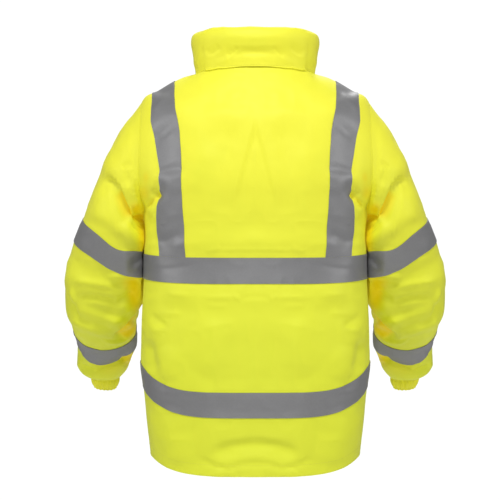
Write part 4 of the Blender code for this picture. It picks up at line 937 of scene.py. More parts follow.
def cloth_wall(name, look, outer, inner, is_tube=False, inside_look=None, painted_shade=None):
    """A mesh object from the outer and inner grids of a piece of cloth."""
    rows, columns = outer.shape[:2]
    half = rows * columns
    index = np.arange(half).reshape(rows, columns)
    if is_tube:
        index = np.concatenate([index, index[:, :1]], axis=1)
    corners = np.stack([index[:-1, :-1], index[:-1, 1:], index[1:, 1:], index[1:, :-1]], -1).reshape(-1, 4)
    rims = [(index[0, :-1], index[0, 1:]), (index[-1, 1:], index[-1, :-1])]
    if not is_tube:
        rims += [(index[1:, 0], index[:-1, 0]), (index[:-1, -1], index[1:, -1])]
    rims = [np.stack([b, a, a + half, b + half], -1) for a, b in rims]
    faces = np.concatenate([corners, corners[:, ::-1] + half] + rims)

    whole = closed(outer, is_tube)
    round_it = steps_along(whole, 1) - steps_along(whole, 1)[:, -1:] / 2
    up_it = np.broadcast_to(steps_along(whole, 0).mean(axis=1, keepdims=True), round_it.shape)
    flat = np.stack([round_it, up_it], -1)
    cells = np.stack([flat[:-1, :-1], flat[:-1, 1:], flat[1:, 1:], flat[1:, :-1]], 2).reshape(-1, 4, 2)
    rim_count = sum(len(rim) for rim in rims)
    uvs = np.concatenate([cells, cells[:, ::-1], np.zeros((rim_count, 4, 2))])

    mesh = bpy.data.meshes.new(name)
    points = np.concatenate([outer.reshape(-1, 3), inner.reshape(-1, 3)])
    mesh.from_pydata(points.tolist(), [], faces.tolist())
    mesh.uv_layers.new(name="cut").data.foreach_set("uv", uvs.ravel())
    # Painted orange shade of each outer point; the inner face gets none.
    if painted_shade is not None:
        depths = np.concatenate([painted_shade.ravel(), 0 * painted_shade.ravel()])
        mesh.attributes.new("painted_shade", "FLOAT", "POINT").data.foreach_set("value", depths)
    mesh.materials.append(look)
    mesh.materials.append(inside_look or look)
    is_inside = np.zeros(len(faces), np.int32)
    is_inside[len(corners):2 * len(corners)] = 1
    mesh.polygons.foreach_set("material_index", is_inside)
    face_outwards(mesh)
    mesh.shade_smooth()
    mesh.set_sharp_from_angle(angle=SHARP_FROM)
    return placed_object(name, mesh)


# %% [markdown]
# Every piece of cloth has to be told what it is: the body it moves with, the solid it stands for, and the
# flat size that it was cut to. The size is measured on the grid, along the cloth.

# %% Declaring a piece
SIDES = (("left", np.array), ("right", mirrored))    # the wearer's, and how to get its points from the left's

def wear(piece, *solids):
    """The piece rides on the jacket and stands for its solids."""
    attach(piece, "jacket")
    if solids:
        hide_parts(*solids)
    return piece


def declare_cut(piece, grid, is_tube=False):
    """States the flat size of the cloth that the piece was cut to."""
    flat, area = cut_of(grid, is_tube)
    print(f"{piece.name}: cut {flat[0]:.3f} x {flat[1]:.3f} m, {area:.3f} square metres")


# %% [markdown]
# ## The body
# The back and the two fronts are cut in one piece from shoulder to hem. Their creases fade out at each seam,
# at the zip and at the neck, because there the cloth is doubled and sewn to its neighbour. Ridges are also
# pressed flat where the sleeve hangs beside the panel, so that the two don't run into each other.

# %% The shared cut of the armhole's seam
def seam_direction(turn):
    """Which way the cut edges run at the armhole, shared by the body's panel and the sleeve."""
    body = normals_of(body_surface, *arm_loop(turn, is_sleeve=False), NECK)
    sleeve = normals_of(sleeve_surface, turn, np.zeros_like(turn), len(SLEEVE))
    middle = unit(body + sleeve)
    return middle / np.maximum(np.sum(middle * body, -1, keepdims=True), LEAST_MITRE)


# %% The body's cloth
SEAM_FADE, EDGE_FADE = 0.030, 0.014         # how far from a seam, and from the zip, creases reach full height
# Painted shade: this far past the least depth, a trough's painted orange shade is full.
FULL_PAINTED_SHADE_DEPTH = 0.0022                            # this far past PAINTED_SHADE_FROM_DEPTH, a trough is as orange as it gets
SleeveSide = namedtuple("SleeveSide", "x z fade_x fade_z pressed")
SLEEVE_SIDE = SleeveSide(0.196, -0.480, 0.02, 0.04, 0.85)    # past x and above z, ridges are pressed flat

def from_far_end(grid, axis):
    """How far each point is from the end of its row or column, along the cloth."""
    return np.flip(steps_along(np.flip(grid, axis), axis), axis)


def body_panel(is_back):
    """The left half of a panel with no creases, how much of them it takes, and its armhole's seam."""
    angles, rings = (back_angles, back_rings) if is_back else (front_angles, front_rings)
    smooth = body_surface(angles, rings)
    hold = eased(from_far_end(smooth, 1) / SEAM_FADE) * eased(from_far_end(smooth, 0) / SEAM_FADE)
    if not is_back:
        hold = hold * eased(steps_along(smooth, 1) / EDGE_FADE)
    share = np.linspace(1, 0, ARMHOLE_ROWS * FINE + 1)
    turns = math.pi * share if is_back else 2 * math.pi - math.pi * share
    return smooth, hold, seam_direction(turns)


def finished_panel(smooth, hold, creases, shade_patches, seed):
    """A panel's grid with its creases and crumple, its normals, and how much painted orange shade each point
    gets.
    """
    x, z = np.abs(smooth[..., 0]), smooth[..., 2]
    lift, depth = creases_at(x, z, creases)
    lift = lift + crumple(smooth, seed) * away_from_side(smooth)
    beside_sleeve = (eased((x - SLEEVE_SIDE.x) / SLEEVE_SIDE.fade_x)
                     * eased((z - SLEEVE_SIDE.z) / SLEEVE_SIDE.fade_z))
    lift = np.where(lift > 0, lift * (1 - SLEEVE_SIDE.pressed * beside_sleeve), lift)
    outer = smooth + grid_normals(smooth) * sign_of_grid(smooth) * (lift * hold)[..., None]
    # Painted orange shade: from the deep troughs and from the named patches.
    painted_shade = depth / FULL_PAINTED_SHADE_DEPTH * hold + painted_shade_at(x, z, shade_patches)
    return outer, grid_normals(outer) * sign_of_grid(outer), painted_shade


def sign_of_grid(grid):
    """1 where the grid's normals point out of the body, and -1 on a mirrored grid."""
    middle = grid[grid.shape[0] // 4, grid.shape[1] // 2]
    normal = grid_normals(grid)[grid.shape[0] // 4, grid.shape[1] // 2]
    return 1.0 if middle[0] * normal[0] + middle[1] * normal[1] > 0 else -1.0


BACK_SEED, FRONT_SEED = 1, 3
ARMHOLE = slice(len(ROWS_BELOW_ARMPIT) * FINE, None)    # the rows of a panel that end at the armhole

body_grids = {}
half, hold, seam_cut = body_panel(is_back=True)
whole = np.concatenate([mirrored(half[:, :0:-1]), half], axis=1)
whole_hold = np.concatenate([hold[:, :0:-1], hold], axis=1)
outer, normals, painted_shade = finished_panel(whole, whole_hold, BACK_CREASES, BACK_SHADE_PATCHES, BACK_SEED)
body_grids["back"] = outer, normals
inner = outer - normals * CLOTH
inner[ARMHOLE, -1] = outer[ARMHOLE, -1] - seam_cut * CLOTH
inner[ARMHOLE, 0] = outer[ARMHOLE, 0] - mirrored(seam_cut) * CLOTH
back_cloth = wear(cloth_wall("back_cloth", HI_VIS, outer, inner, False, INSIDE, painted_shade), "back")
declare_cut(back_cloth, outer)

# %% The fronts
half, hold, seam_cut = body_panel(is_back=False)
for side, flip in SIDES:
    outer, normals, painted_shade = finished_panel(flip(half), hold, FRONT_CREASES, (), FRONT_SEED)
    body_grids[f"front_{side}"] = outer, normals
    inner = outer - normals * CLOTH
    inner[ARMHOLE, -1] = outer[ARMHOLE, -1] - flip(seam_cut) * CLOTH
    front = cloth_wall(f"front_{side}_cloth", HI_VIS, outer, inner, False, INSIDE, painted_shade)
    declare_cut(wear(front, f"front_{side}"), outer)

# %% [markdown]
# ## The sleeves
# Each sleeve is one tube from the armhole to the cuff. A crease is placed by where it is seen from behind or
# from the front, and it fades where the tube turns away to the side. The sleeve is pushed clear of the body
# again after its creases are added, because it hangs close beside it.

# %% The sleeves' cloth
SLEEVE_SEED = 21
TURNED_AWAY = 0.55                          # a crease has its full height where the tube faces this far
SLEEVE_CRUMPLE, SLEEVE_STRETCH = 0.9, np.array([1, 1, 1.2])
ARMHOLE_FADE, CUFF_FADE = 0.45, 0.3         # rows over which the creases grow from each seam

def sleeve_grid():
    """The left sleeve's grid with its creases and crumple, its normals, and how much painted orange shade
    each point gets.
    """
    smooth = sleeve_surface(sleeve_turns, sleeve_rows)
    x, z = smooth[..., 0], smooth[..., 2]
    at_back, at_front = (eased(way * np.sin(sleeve_turns) / TURNED_AWAY) for way in (1, -1))
    back_lift, back_depth = creases_at(x, z, SLEEVE_BACK_CREASES)
    front_lift, front_depth = creases_at(x, z, SLEEVE_FRONT_CREASES)
    lift = (back_lift * at_back + front_lift * at_front
            + SLEEVE_CRUMPLE * crumple(smooth * SLEEVE_STRETCH, SLEEVE_SEED))
    hold = eased(sleeve_rows / ARMHOLE_FADE) * eased((len(SLEEVE) - sleeve_rows) / CUFF_FADE)
    outer = smooth + grid_normals(smooth, is_tube=True) * (lift * hold)[..., None]
    outer = clear_of_body(outer, np.clip(sleeve_rows, 0, 1)[..., None])
    depth = back_depth * at_back + front_depth * at_front
    # Painted orange shade: from the deep troughs and from the named patches.
    painted_shade = depth / FULL_PAINTED_SHADE_DEPTH * hold + painted_shade_at(x, z, SLEEVE_SHADE_PATCHES)
    return outer, grid_normals(outer, is_tube=True), painted_shade


sleeve_grids = {}
seam_cut = seam_direction(sleeve_turns[0])
left_outer, left_normals, painted_shade = sleeve_grid()
left_inner = left_outer - left_normals * CLOTH
left_inner[0] = left_outer[0] - seam_cut * CLOTH
for side, flip in SIDES:
    outer, normals, inner = flip(left_outer), flip(left_normals), flip(left_inner)
    sleeve_grids[side] = outer, normals
    piece = cloth_wall(f"sleeve_{side}_cloth", HI_VIS, outer, inner, True, INSIDE, painted_shade)
    wear(piece, f"sleeve_back_{side}", f"sleeve_front_{side}")
    declare_cut(piece, outer, is_tube=True)

# %% [markdown]
# ## The silver tape
# Tape is sewn flat on the panels, so it takes its points from the panel below it, moved out by a hair and by
# its own thickness. It follows every crease. Modelling it as a separate ribbon would leave it floating over
# the dips.

# %% The tapes
tape_grids = {}

def sew_tape(name, grid, normals, rests_on, is_tube=False):
    """A tape on the part of a panel that the grid gives."""
    low, high = grid + normals * SEAM_GAP, grid + normals * (SEAM_GAP + TAPE)
    tape_grids[name] = high, normals
    tape = wear(cloth_wall(f"{name}_silver", SILVER, high, low, is_tube), name)
    declare_cut(tape, high, is_tube)


def block(grids, rows, columns=slice(None)):
    """The same rows and columns of a grid of points and a grid of normals."""
    return [grid[rows, columns] for grid in grids]


WAIST_ROWS = slice(panel_row(WAIST_TAPE[0]), panel_row(WAIST_TAPE[1]) + 1)
LOWER_ROWS = slice(panel_row(LOWER_TAPE[0]), panel_row(LOWER_TAPE[1]) + 1)
ABOVE_WAIST = slice(panel_row(WAIST_TAPE[1]), None)
BRACE_START = (COLUMNS[0] + COLUMNS[1]) * FINE
BRACE_END = BRACE_START + COLUMNS[2] * FINE
MIDDLE = sum(COLUMNS) * FINE

sew_tape("waist_back", *block(body_grids["back"], WAIST_ROWS), ["back_cloth"])
sew_tape("lower_back", *block(body_grids["back"], LOWER_ROWS), ["back_cloth"])
brace_columns = {"left": slice(MIDDLE + BRACE_START, MIDDLE + BRACE_END + 1),
                 "right": slice(MIDDLE - BRACE_END, MIDDLE - BRACE_START + 1)}
BRACE_LIFT = 0.05           # how far up its first cell a brace's end starts, clear of the waist tape
for side in ("left", "right"):
    front = body_grids[f"front_{side}"]
    sew_tape(f"waist_front_{side}", *block(front, WAIST_ROWS), [f"front_{side}_cloth"])
    sew_tape(f"lower_front_{side}", *block(front, LOWER_ROWS), [f"front_{side}_cloth"])
    for face, grids, columns in (("front", front, slice(BRACE_START, BRACE_END + 1)),
                                 ("back", body_grids["back"], brace_columns[side])):
        grid, normals = (part.copy() for part in block(grids, ABOVE_WAIST, columns))
        grid[0] += (grid[1] - grid[0]) * BRACE_LIFT
        cloth = "back_cloth" if face == "back" else f"front_{side}_cloth"
        sew_tape(f"brace_{face}_{side}", grid, normals, [cloth])
    for place, edges in (("upper", UPPER_TAPE), ("lower", FOREARM_TAPE)):
        start, end = (SLEEVE_ROWS.index(row) * SLEEVE_FINE_DOWN for row in edges)
        sew_tape(f"sleeve_tape_{place}_{side}", *block(sleeve_grids[side], slice(start, end + 1)),
                 [f"sleeve_{side}_cloth"], is_tube=True)

# %% [markdown]
# ## The cuffs
# The sleeve's end is gathered on elastic. Such a cuff is cut wider than the wrist and then drawn in, so it
# stands in small uneven pleats, and two rows of stitches press it flat. The pleats are one wave round the
# wrist whose pitch and height wander, and a second profile up the cuff gives the bulges between the rows of
# stitches. The pleats face each other, so the whole cuff gets a little painted orange shade, warmer in colour
# than the sleeve.

# %% The cuffs
CUFF_LENGTH, CUFF_NARROWING, CUFF_NARROWING_POWER, CUFF_INSET = 0.026, 0.76, 1.6, 0.0004
CUFF_GATHERS, CUFF_WAVE, CUFF_POINTS_A_GATHER, CUFF_ROWS = 17, 0.0013, 12, 25
CUFF_SLANT = 0.35           # how much the pleats change from one end of the cuff to the other
CUFF_WANDER, CUFF_WANDER_SIZE, CUFF_DEPTH_SIZE = 2.4, 0.55, 0.30
CUFF_LEAST_DEEP, CUFF_MORE_DEEP = 0.55, 0.9
CUFF_STITCH_ROWS, CUFF_PINCH_REACH = (0.16, 0.84), 0.07
CUFF_BULGE, CUFF_PINCH, CUFF_WRINKLE, CUFF_WRINKLE_SIZE = 0.0009, 0.0008, 0.0008, 0.11
# Painted orange shade over the whole cuff, where its pleats face each other.
CUFF_PAINTED_SHADE = 0.35          # how orange the pleats are
CUFF_SEEDS = (41, 43)       # each cuff is gathered in its own way

def cuff_grids(seed):
    """The left cuff's outer and inner grids, with their rows from the wrist up to the sleeve."""
    count = CUFF_GATHERS * CUFF_POINTS_A_GATHER
    turns = np.arange(count) * 2 * math.pi / count
    seam, last = sleeve_ovals(turns)[-1], SLEEVE[-1]
    lean = math.radians(last.lean)
    middle = np.array([(last.out_x + last.in_x) / 2, last.mid_y, (last.out_z + last.in_z) / 2])
    down_arm = np.array([0, -math.sin(lean), -math.cos(lean)])
    radial = unit(seam - middle)
    outer, inner = [], []
    for share in np.linspace(0, 1, CUFF_ROWS):
        centre = middle + down_arm * (SEAM_GAP + CUFF_LENGTH * share)
        base = centre + (seam - middle) * (1 + (CUFF_NARROWING - 1) * share ** CUFF_NARROWING_POWER)
        around = np.stack([np.cos(turns), np.sin(turns), CUFF_SLANT * share + 0 * turns], -1)
        wander = CUFF_WANDER * (value_noise(around, CUFF_WANDER_SIZE, seed) - 0.5)
        deep = CUFF_LEAST_DEEP + CUFF_MORE_DEEP * value_noise(around, CUFF_DEPTH_SIZE, seed + 3)
        wave = CUFF_WAVE * deep * (np.cos(CUFF_GATHERS * turns + wander) - 1)
        pinch = sum(math.exp(-((share - row) / CUFF_PINCH_REACH) ** 2) for row in CUFF_STITCH_ROWS)
        bulge = CUFF_BULGE * math.sin(math.pi * share) - CUFF_PINCH * pinch
        fine = CUFF_WRINKLE * (value_noise(around, CUFF_WRINKLE_SIZE, seed + 5) - 0.5)
        ring = base + radial * (wave + bulge + fine - CUFF_INSET)[:, None]
        outer.append(ring)
        inner.append(ring - radial * CLOTH)
    return np.array(outer)[::-1], np.array(inner)[::-1]


cuff_outers = {}
for (side, flip), seed in zip(SIDES, CUFF_SEEDS):
    outer, inner = (flip(grid) for grid in cuff_grids(seed))
    cuff_outers[side] = outer
    # Painted orange shade, the same over the whole cuff.
    cuff_painted_shade = np.full(outer.shape[:2], CUFF_PAINTED_SHADE)
    piece = cloth_wall(f"cuff_{side}_gathered", HI_VIS, outer, inner, is_tube=True, painted_shade=cuff_painted_shade)
    declare_cut(wear(piece, f"cuff_{side}"), outer, is_tube=True)

# %% [markdown]
# ## The collar
# The collar stands up with the hood rolled inside it, so it is thick and soft, with a rounded top. Its cloth
# is one band that runs up the outside, over the roll and down the inside. It could be a lofted solid, but
# cloth has an inner face, so it is a wall too, and it closes over the two ends beside the zip. Along the top
# a shallow groove parts the outer layer from the rolled hood behind it. The roll is thinner towards the
# sides, so the top sinks there and its corners are round.

# %% The collar's surface
CollarPoint = namedtuple("CollarPoint", "out across up")
COLLAR = (
    CollarPoint(0.0000, 0.00, 0.000),
    CollarPoint(0.0030, 0.00, 0.200),
    CollarPoint(0.0062, 0.00, 0.460),
    CollarPoint(0.0090, 0.00, 0.720),
    CollarPoint(0.0072, 0.00, 0.890),
    CollarPoint(0.0020, 0.12, 0.985),
    CollarPoint(0.0000, 0.48, 1.010),
    CollarPoint(0.0000, 0.86, 0.960),
    CollarPoint(0.0000, 1.00, 0.800),
    CollarPoint(0.0000, 1.00, 0.420),
    CollarPoint(0.0000, 1.00, 0.030),
)
COLLAR_TOP_SIDE, COLLAR_TOP_BACK, COLLAR_TOP_FRONT, COLLAR_TOP_POWER = 0.0835, 0.0795, 0.0500, 1.6
COLLAR_WALL_BACK, COLLAR_WALL_FRONT = 0.022, 0.008
COLLAR_START = 1.5 * SEAM_GAP    # how far above the neck ring the collar starts
UP = np.array([0, 0, 1.0])

def collar_frame(angle):
    """The neck ring's point, the level direction out from it, and the collar's height and thickness."""
    point = body_surface(angle, NECK + 0 * angle)
    ring = BODY[NECK]
    depth = np.where(np.cos(angle) >= 0, ring.back, ring.front)
    x, y = point[..., 0], point[..., 1]
    out = np.stack([np.sign(x) * np.abs(x / ring.half_width) ** (ring.power - 1) / ring.half_width,
                    np.sign(y) * np.abs(y / depth) ** (ring.power - 1) / depth, 0 * x], -1)
    drop = COLLAR_TOP_SIDE - np.where(y >= 0, COLLAR_TOP_BACK, COLLAR_TOP_FRONT)
    height = COLLAR_TOP_SIDE - drop * np.abs(y / depth) ** COLLAR_TOP_POWER - point[..., 2]
    thickness = COLLAR_WALL_BACK + (COLLAR_WALL_FRONT - COLLAR_WALL_BACK) * (1 - np.cos(angle)) / 2
    return point, unit(out), height, thickness


def collar_point(angle, row):
    """The collar's section at one of its table's rows, or between them, at each angle."""
    size = CollarPoint(*np.moveaxis(smooth_rows(COLLAR, row), -1, 0))
    point, out, height, thickness = collar_frame(angle)
    across = size.out - size.across * thickness
    return point + out * across[..., None] + UP * (COLLAR_START + size.up * height)[..., None]


# The angles of the panels' own columns at the neck, from the wearer's right front to the left front.
neck_back, neck_front = (angles[-1, :COLUMNS[0] * FINE + 1] for angles in (back_angles, front_angles))
neck_half = np.concatenate([neck_back[:-1], [QUARTER], neck_front[-2::-1]])
collar_angles = np.concatenate([-neck_half[:0:-1], neck_half])
collar_rows = np.linspace(0, len(COLLAR) - 1, 71)
OUTSIDE = slice(0, 20)      # rows of the collar's and the flap's grids that lie on the outside
print("collar:", len(collar_rows), "rows of", len(collar_angles), "points")

# %% The collar's creases and its groove
COLLAR_CREASES = (
    Crease(0.110, 0.030, 0.075, 0.052, 0.002, 0.0060, -0.0016, 0.4),
    Crease(0.122, 0.012, 0.108, 0.040, 0.002, 0.0070, 0.0014, 0.2),
    Crease(0.090, 0.066, 0.050, 0.070, 0.000, 0.0050, -0.0012, 0.4),
    Crease(0.040, 0.062, 0.006, 0.067, 0.001, 0.0060, 0.0011, 0.3),
)

CornerDrop = namedtuple("CornerDrop", "drop x fade_x y fade_y power")
CORNER = CornerDrop(0.007, 0.078, 0.040, -0.06, 0.08, 3)    # past x and behind y, and most at the top
OuterDip = namedtuple("OuterDip", "x width depth row row_reach")
OUTER_DIP = OuterDip(0.070, 0.011, 0.0022, 4.9, 0.55)       # a dent in the roll's outer edge, on each side
Groove = namedtuple("Groove", "depth row row_reach even uneven waves shift")
GROOVE = Groove(0.0026, 5.75, 0.22, 0.6, 0.5, 31, 0.8)
TopWave = namedtuple("TopWave", "height row row_reach waves shift")
TOP_WAVE = TopWave(0.0005, 5.6, 1.6, 9.3, 0.6)
COLLAR_CRUMPLE, COLLAR_CRUMPLE_SCALE, COLLAR_SEED = 0.35, 1.6, 61
COLLAR_OUTSIDE_ROW, COLLAR_OUTSIDE_FADE = 5.2, 1.5          # creases end where the roll turns inside
COLLAR_END_FADE, COLLAR_SEAM_FADE = 0.22, 0.6

def corner_drop(points):
    """How far the top of the collar sinks towards its sides, behind the wearer's ears."""
    share = (eased((np.abs(points[..., 0]) - CORNER.x) / CORNER.fade_x)
             * eased((points[..., 1] - CORNER.y) / CORNER.fade_y))
    return CORNER.drop * share * np.clip(points[..., 2] / COLLAR_TOP_SIDE, 0, 1) ** CORNER.power


def near_row(rows, row, reach):
    """1 at a row of the collar, and less the further from it."""
    return np.exp(-((rows - row) / reach) ** 2)


angle_grid, row_grid = np.meshgrid(collar_angles, collar_rows)
smooth = collar_point(angle_grid, row_grid)
smooth[..., 2] -= corner_drop(smooth)
sideways = np.abs(smooth[..., 0])
on_outside = eased((COLLAR_OUTSIDE_ROW - row_grid) / COLLAR_OUTSIDE_FADE) * (smooth[..., 1] > -0.02)
lift = (creases_at(sideways, smooth[..., 2], COLLAR_CREASES)[0] * on_outside
        + COLLAR_CRUMPLE * crumple(smooth * COLLAR_CRUMPLE_SCALE, COLLAR_SEED))
unevenness = GROOVE.even + GROOVE.uneven * np.sin(GROOVE.waves * angle_grid + GROOVE.shift)
lift -= GROOVE.depth * near_row(row_grid, GROOVE.row, GROOVE.row_reach) * unevenness
beside = np.exp(-((sideways - OUTER_DIP.x) / OUTER_DIP.width) ** 2) * (smooth[..., 1] > 0.02)
lift -= OUTER_DIP.depth * beside * near_row(row_grid, OUTER_DIP.row, OUTER_DIP.row_reach)
wave = np.sin(TOP_WAVE.waves * angle_grid + TOP_WAVE.shift)
lift += TOP_WAVE.height * wave * near_row(row_grid, TOP_WAVE.row, TOP_WAVE.row_reach)
lift *= eased((math.pi - np.abs(angle_grid)) / COLLAR_END_FADE) * eased(row_grid / COLLAR_SEAM_FADE)
collar_outer = smooth + grid_normals(smooth) * sign_of_grid(smooth[OUTSIDE]) * lift[..., None]
collar_normals = grid_normals(collar_outer) * sign_of_grid(collar_outer[OUTSIDE])
print("the collar's top is", round(collar_outer[..., 2].max(), 4), "m up")

# %% The collar's cloth
END_STEPS = (0.05, 0.4, 0.75, 0.93)    # how much of the section is left at each step of a closed end

def with_ends(grid):
    """The grid with columns added at both ends that draw in to the section's middle and close the end."""
    ends = []
    for column in (grid[:, 0], grid[:, -1]):
        middle = column.mean(axis=0)
        ends.append(np.stack([middle + (column - middle) * share for share in END_STEPS], axis=1))
    return np.concatenate([ends[0], grid, ends[1][:, ::-1]], axis=1)


walls = [with_ends(grid) for grid in (collar_outer, collar_outer - collar_normals * CLOTH)]
collar_cloth = wear(cloth_wall("collar_cloth", HI_VIS, *walls, inside_look=INSIDE), "collar")
declare_cut(collar_cloth, collar_outer)

# %% [markdown]
# ## The hood's flap
# A flap covers the pocket that the hood is rolled into. It is sewn down along the top and the ends, and its
# free edge at the neck is cut in a shallow arch. The cloth above that edge is hollow and then flares out into
# a lip, so it catches the light and throws a dark line below. It follows the collar, moved out, and the lip
# is a profile that changes from row to row. At its ends the edge hangs below the neck seam, where it would
# run into the back, so those points are pushed off the back's cloth. Collision in a simulation would do the
# same, and take far longer for so little.

# %% Keeping cloth off cloth
MOST_PUSH, NEAR_THE_NECK = 0.008, -0.04     # the back's points above that height are the ones that may be met

def kept_off(points, surface, normals, gap):
    """The points, each pushed out to at least a gap from the nearest point of a surface."""
    is_near = surface[..., 2] > NEAR_THE_NECK
    near, outwards = surface[is_near], normals[is_near]
    flat = points.reshape(-1, 3).copy()
    for start in range(0, len(flat), 500):
        some = flat[start:start + 500]
        nearest = ((some[:, None] - near[None]) ** 2).sum(axis=-1).argmin(axis=1)
        height = ((some - near[nearest]) * outwards[nearest]).sum(axis=-1)
        flat[start:start + 500] = some + outwards[nearest] * np.clip(gap - height, 0, MOST_PUSH)[:, None]
    return flat.reshape(points.shape)


# %% The flap's form
FLAP_REACH = collar_angles[collar_angles.size // 2 + 4 * FINE]
FLAP_LOW, FLAP_HIGH = 0.10, 4.5             # the rows of the collar between which it lies
FLAP_COLUMNS, FLAP_ROWS, FLAP_SEED = 113, 61, 71
FLAP_FLARE, FLAP_FLARE_ROWS = 0.0026, 1.3
FLAP_HOLLOW, FLAP_HOLLOW_ROW, FLAP_HOLLOW_ROWS, FLAP_HOLLOW_REACH = 0.0042, 1.45, 0.40, 0.42
FLAP_BULGE, FLAP_BULGE_ROW, FLAP_BULGE_ROWS = 0.0022, 2.6, 0.8
FLAP_RIPPLE, FLAP_RIPPLE_WAVES, FLAP_RIPPLE_SHIFT, FLAP_RIPPLE_ROWS = 0.0009, 13, 1.1, 1.6
FLAP_FULLNESS, FLAP_FULLNESS_ROWS = 0.0016, 1.6
FLAP_CRUMPLE, FLAP_CRUMPLE_SCALE = 0.5, 1.7
FLAP_LEVEL_ROW, FLAP_LEVEL_ROWS = 4.2, 1.2  # below that row it moves out level, above it square to the roll
FLAP_CREASES = (
    Crease(0.053, 0.022, 0.034, 0.038, 0.001, 0.0050, -0.0016, 0.8, -0.4),
    Crease(0.092, 0.026, 0.067, 0.040, 0.002, 0.0060, -0.0018, 0.8, -0.4),
    Crease(0.076, 0.012, 0.050, 0.020, 0.001, 0.0060, 0.0012, 0.6, 0.3),
    Crease(0.104, 0.010, 0.088, 0.030, 0.001, 0.0070, 0.0012, 0.5, 0.0),
)
flap_angle, flap_row = np.meshgrid(np.linspace(-FLAP_REACH, FLAP_REACH, FLAP_COLUMNS),
                                   np.linspace(FLAP_LOW, FLAP_HIGH, FLAP_ROWS))
base = collar_point(flap_angle, flap_row)
base[..., 2] -= corner_drop(base)
sideways = np.abs(base[..., 0])
hump = np.cos(flap_angle / FLAP_REACH * QUARTER).clip(0)
mid_hump = np.exp(-(flap_angle / FLAP_REACH / FLAP_HOLLOW_REACH) ** 2)
off_top = eased((FLAP_HIGH - flap_row) / 0.5)
off_edge = eased((flap_row - FLAP_LOW) / 0.5)

lip = FLAP_FLARE * hump ** 0.7 * np.clip(1 - flap_row / FLAP_FLARE_ROWS, 0, 1) ** 2
hollow = -FLAP_HOLLOW * mid_hump * near_row(flap_row, FLAP_HOLLOW_ROW, FLAP_HOLLOW_ROWS)
bulge = FLAP_BULGE * hump * near_row(flap_row, FLAP_BULGE_ROW, FLAP_BULGE_ROWS)
creases = creases_at(sideways, base[..., 2], FLAP_CREASES)[0] * eased((flap_row - FLAP_LOW) / 0.8)
ripple = FLAP_RIPPLE * np.sin(FLAP_RIPPLE_WAVES * flap_angle + FLAP_RIPPLE_SHIFT)
ripple = ripple * np.clip(1 - flap_row / FLAP_RIPPLE_ROWS, 0, 1) * hump
fullness = FLAP_FULLNESS * (0.2 + 0.8 * hump ** 0.5) * eased((FLAP_HIGH - flap_row) / FLAP_FULLNESS_ROWS)
out_by = SEAM_GAP + CLOTH + lip + fullness + (bulge + ripple + creases + hollow) * off_edge * off_top
out_by = out_by + FLAP_CRUMPLE * crumple(base * FLAP_CRUMPLE_SCALE, FLAP_SEED) * hump * off_top
print("the flap stands", (1000 * out_by.min()).round(1), "to", (1000 * out_by.max()).round(1), "mm out")

# %% The flap's edge and its cloth
FLAP_DROOP, FLAP_SIDE_DROOP, FLAP_DROOP_FROM, FLAP_DROOP_FADE = 0.0066, 0.0062, 0.018, 0.075
FLAP_NOTCH, FLAP_NOTCH_AT, FLAP_NOTCH_REACH = 0.0026, 0.072, 0.012    # where the edge lifts a little
FLAP_OFF_BACK = CLOTH + 0.0010

_, flap_out, _, _ = collar_frame(flap_angle)
level = eased((FLAP_LEVEL_ROW - flap_row) / FLAP_LEVEL_ROWS)[..., None]
normals = grid_normals(base) * sign_of_grid(base[OUTSIDE])
direction = unit(flap_out * level + normals * (1 - level))
notch = FLAP_NOTCH * np.exp(-((sideways - FLAP_NOTCH_AT) / FLAP_NOTCH_REACH) ** 2)
droop = FLAP_DROOP + FLAP_SIDE_DROOP * eased((sideways - FLAP_DROOP_FROM) / FLAP_DROOP_FADE)
arch = (notch - droop) * np.clip(1 - flap_row, 0, 1) ** 0.7
flap_outer = base + direction * out_by[..., None] + UP * arch[..., None]
flap_outer = kept_off(flap_outer, *body_grids["back"], FLAP_OFF_BACK)
flap_normals = grid_normals(flap_outer) * sign_of_grid(flap_outer[OUTSIDE])
flap_inner = flap_outer - flap_normals * CLOTH
flap = cloth_wall("hood_flap_cloth", HI_VIS, flap_outer, flap_inner, inside_look=INSIDE)
declare_cut(wear(flap, "hood_flap"), flap_outer)

# %% [markdown]
# ## The zip
# The front closes with a zip from the hem into the collar. Its two tapes are narrow knitted bands that lie
# behind the fronts' edges, and the teeth of the two sides alternate. One tooth is modelled with rounded
# corners, copied along the centre line and joined, because a few hundred separate objects would only slow
# Blender down.

# %% The line that the zip follows
CHAIN_WIDTH, CHAIN_THICKNESS, CHAIN_DEPTH, CHAIN_GAP = 0.0060, 0.0024, 0.0016, 0.0004
ZIP_TAPE_REACH, ZIP_TAPE_REACH_TOP, ZIP_TAPE_THICKNESS, ZIP_TAPE_DEPTH = 0.018, 0.0108, 0.0008, 0.0026
ZIP_NECK_STEP, ZIP_COLLAR_ROWS, ZIP_ENTRY = 0.02, (0.1, 1, 2, 2.6), 0.002
SLIDER_ROW, SLIDER_HALF_LENGTH, SLIDER_POST = 3.6, 0.0055, 0.0030

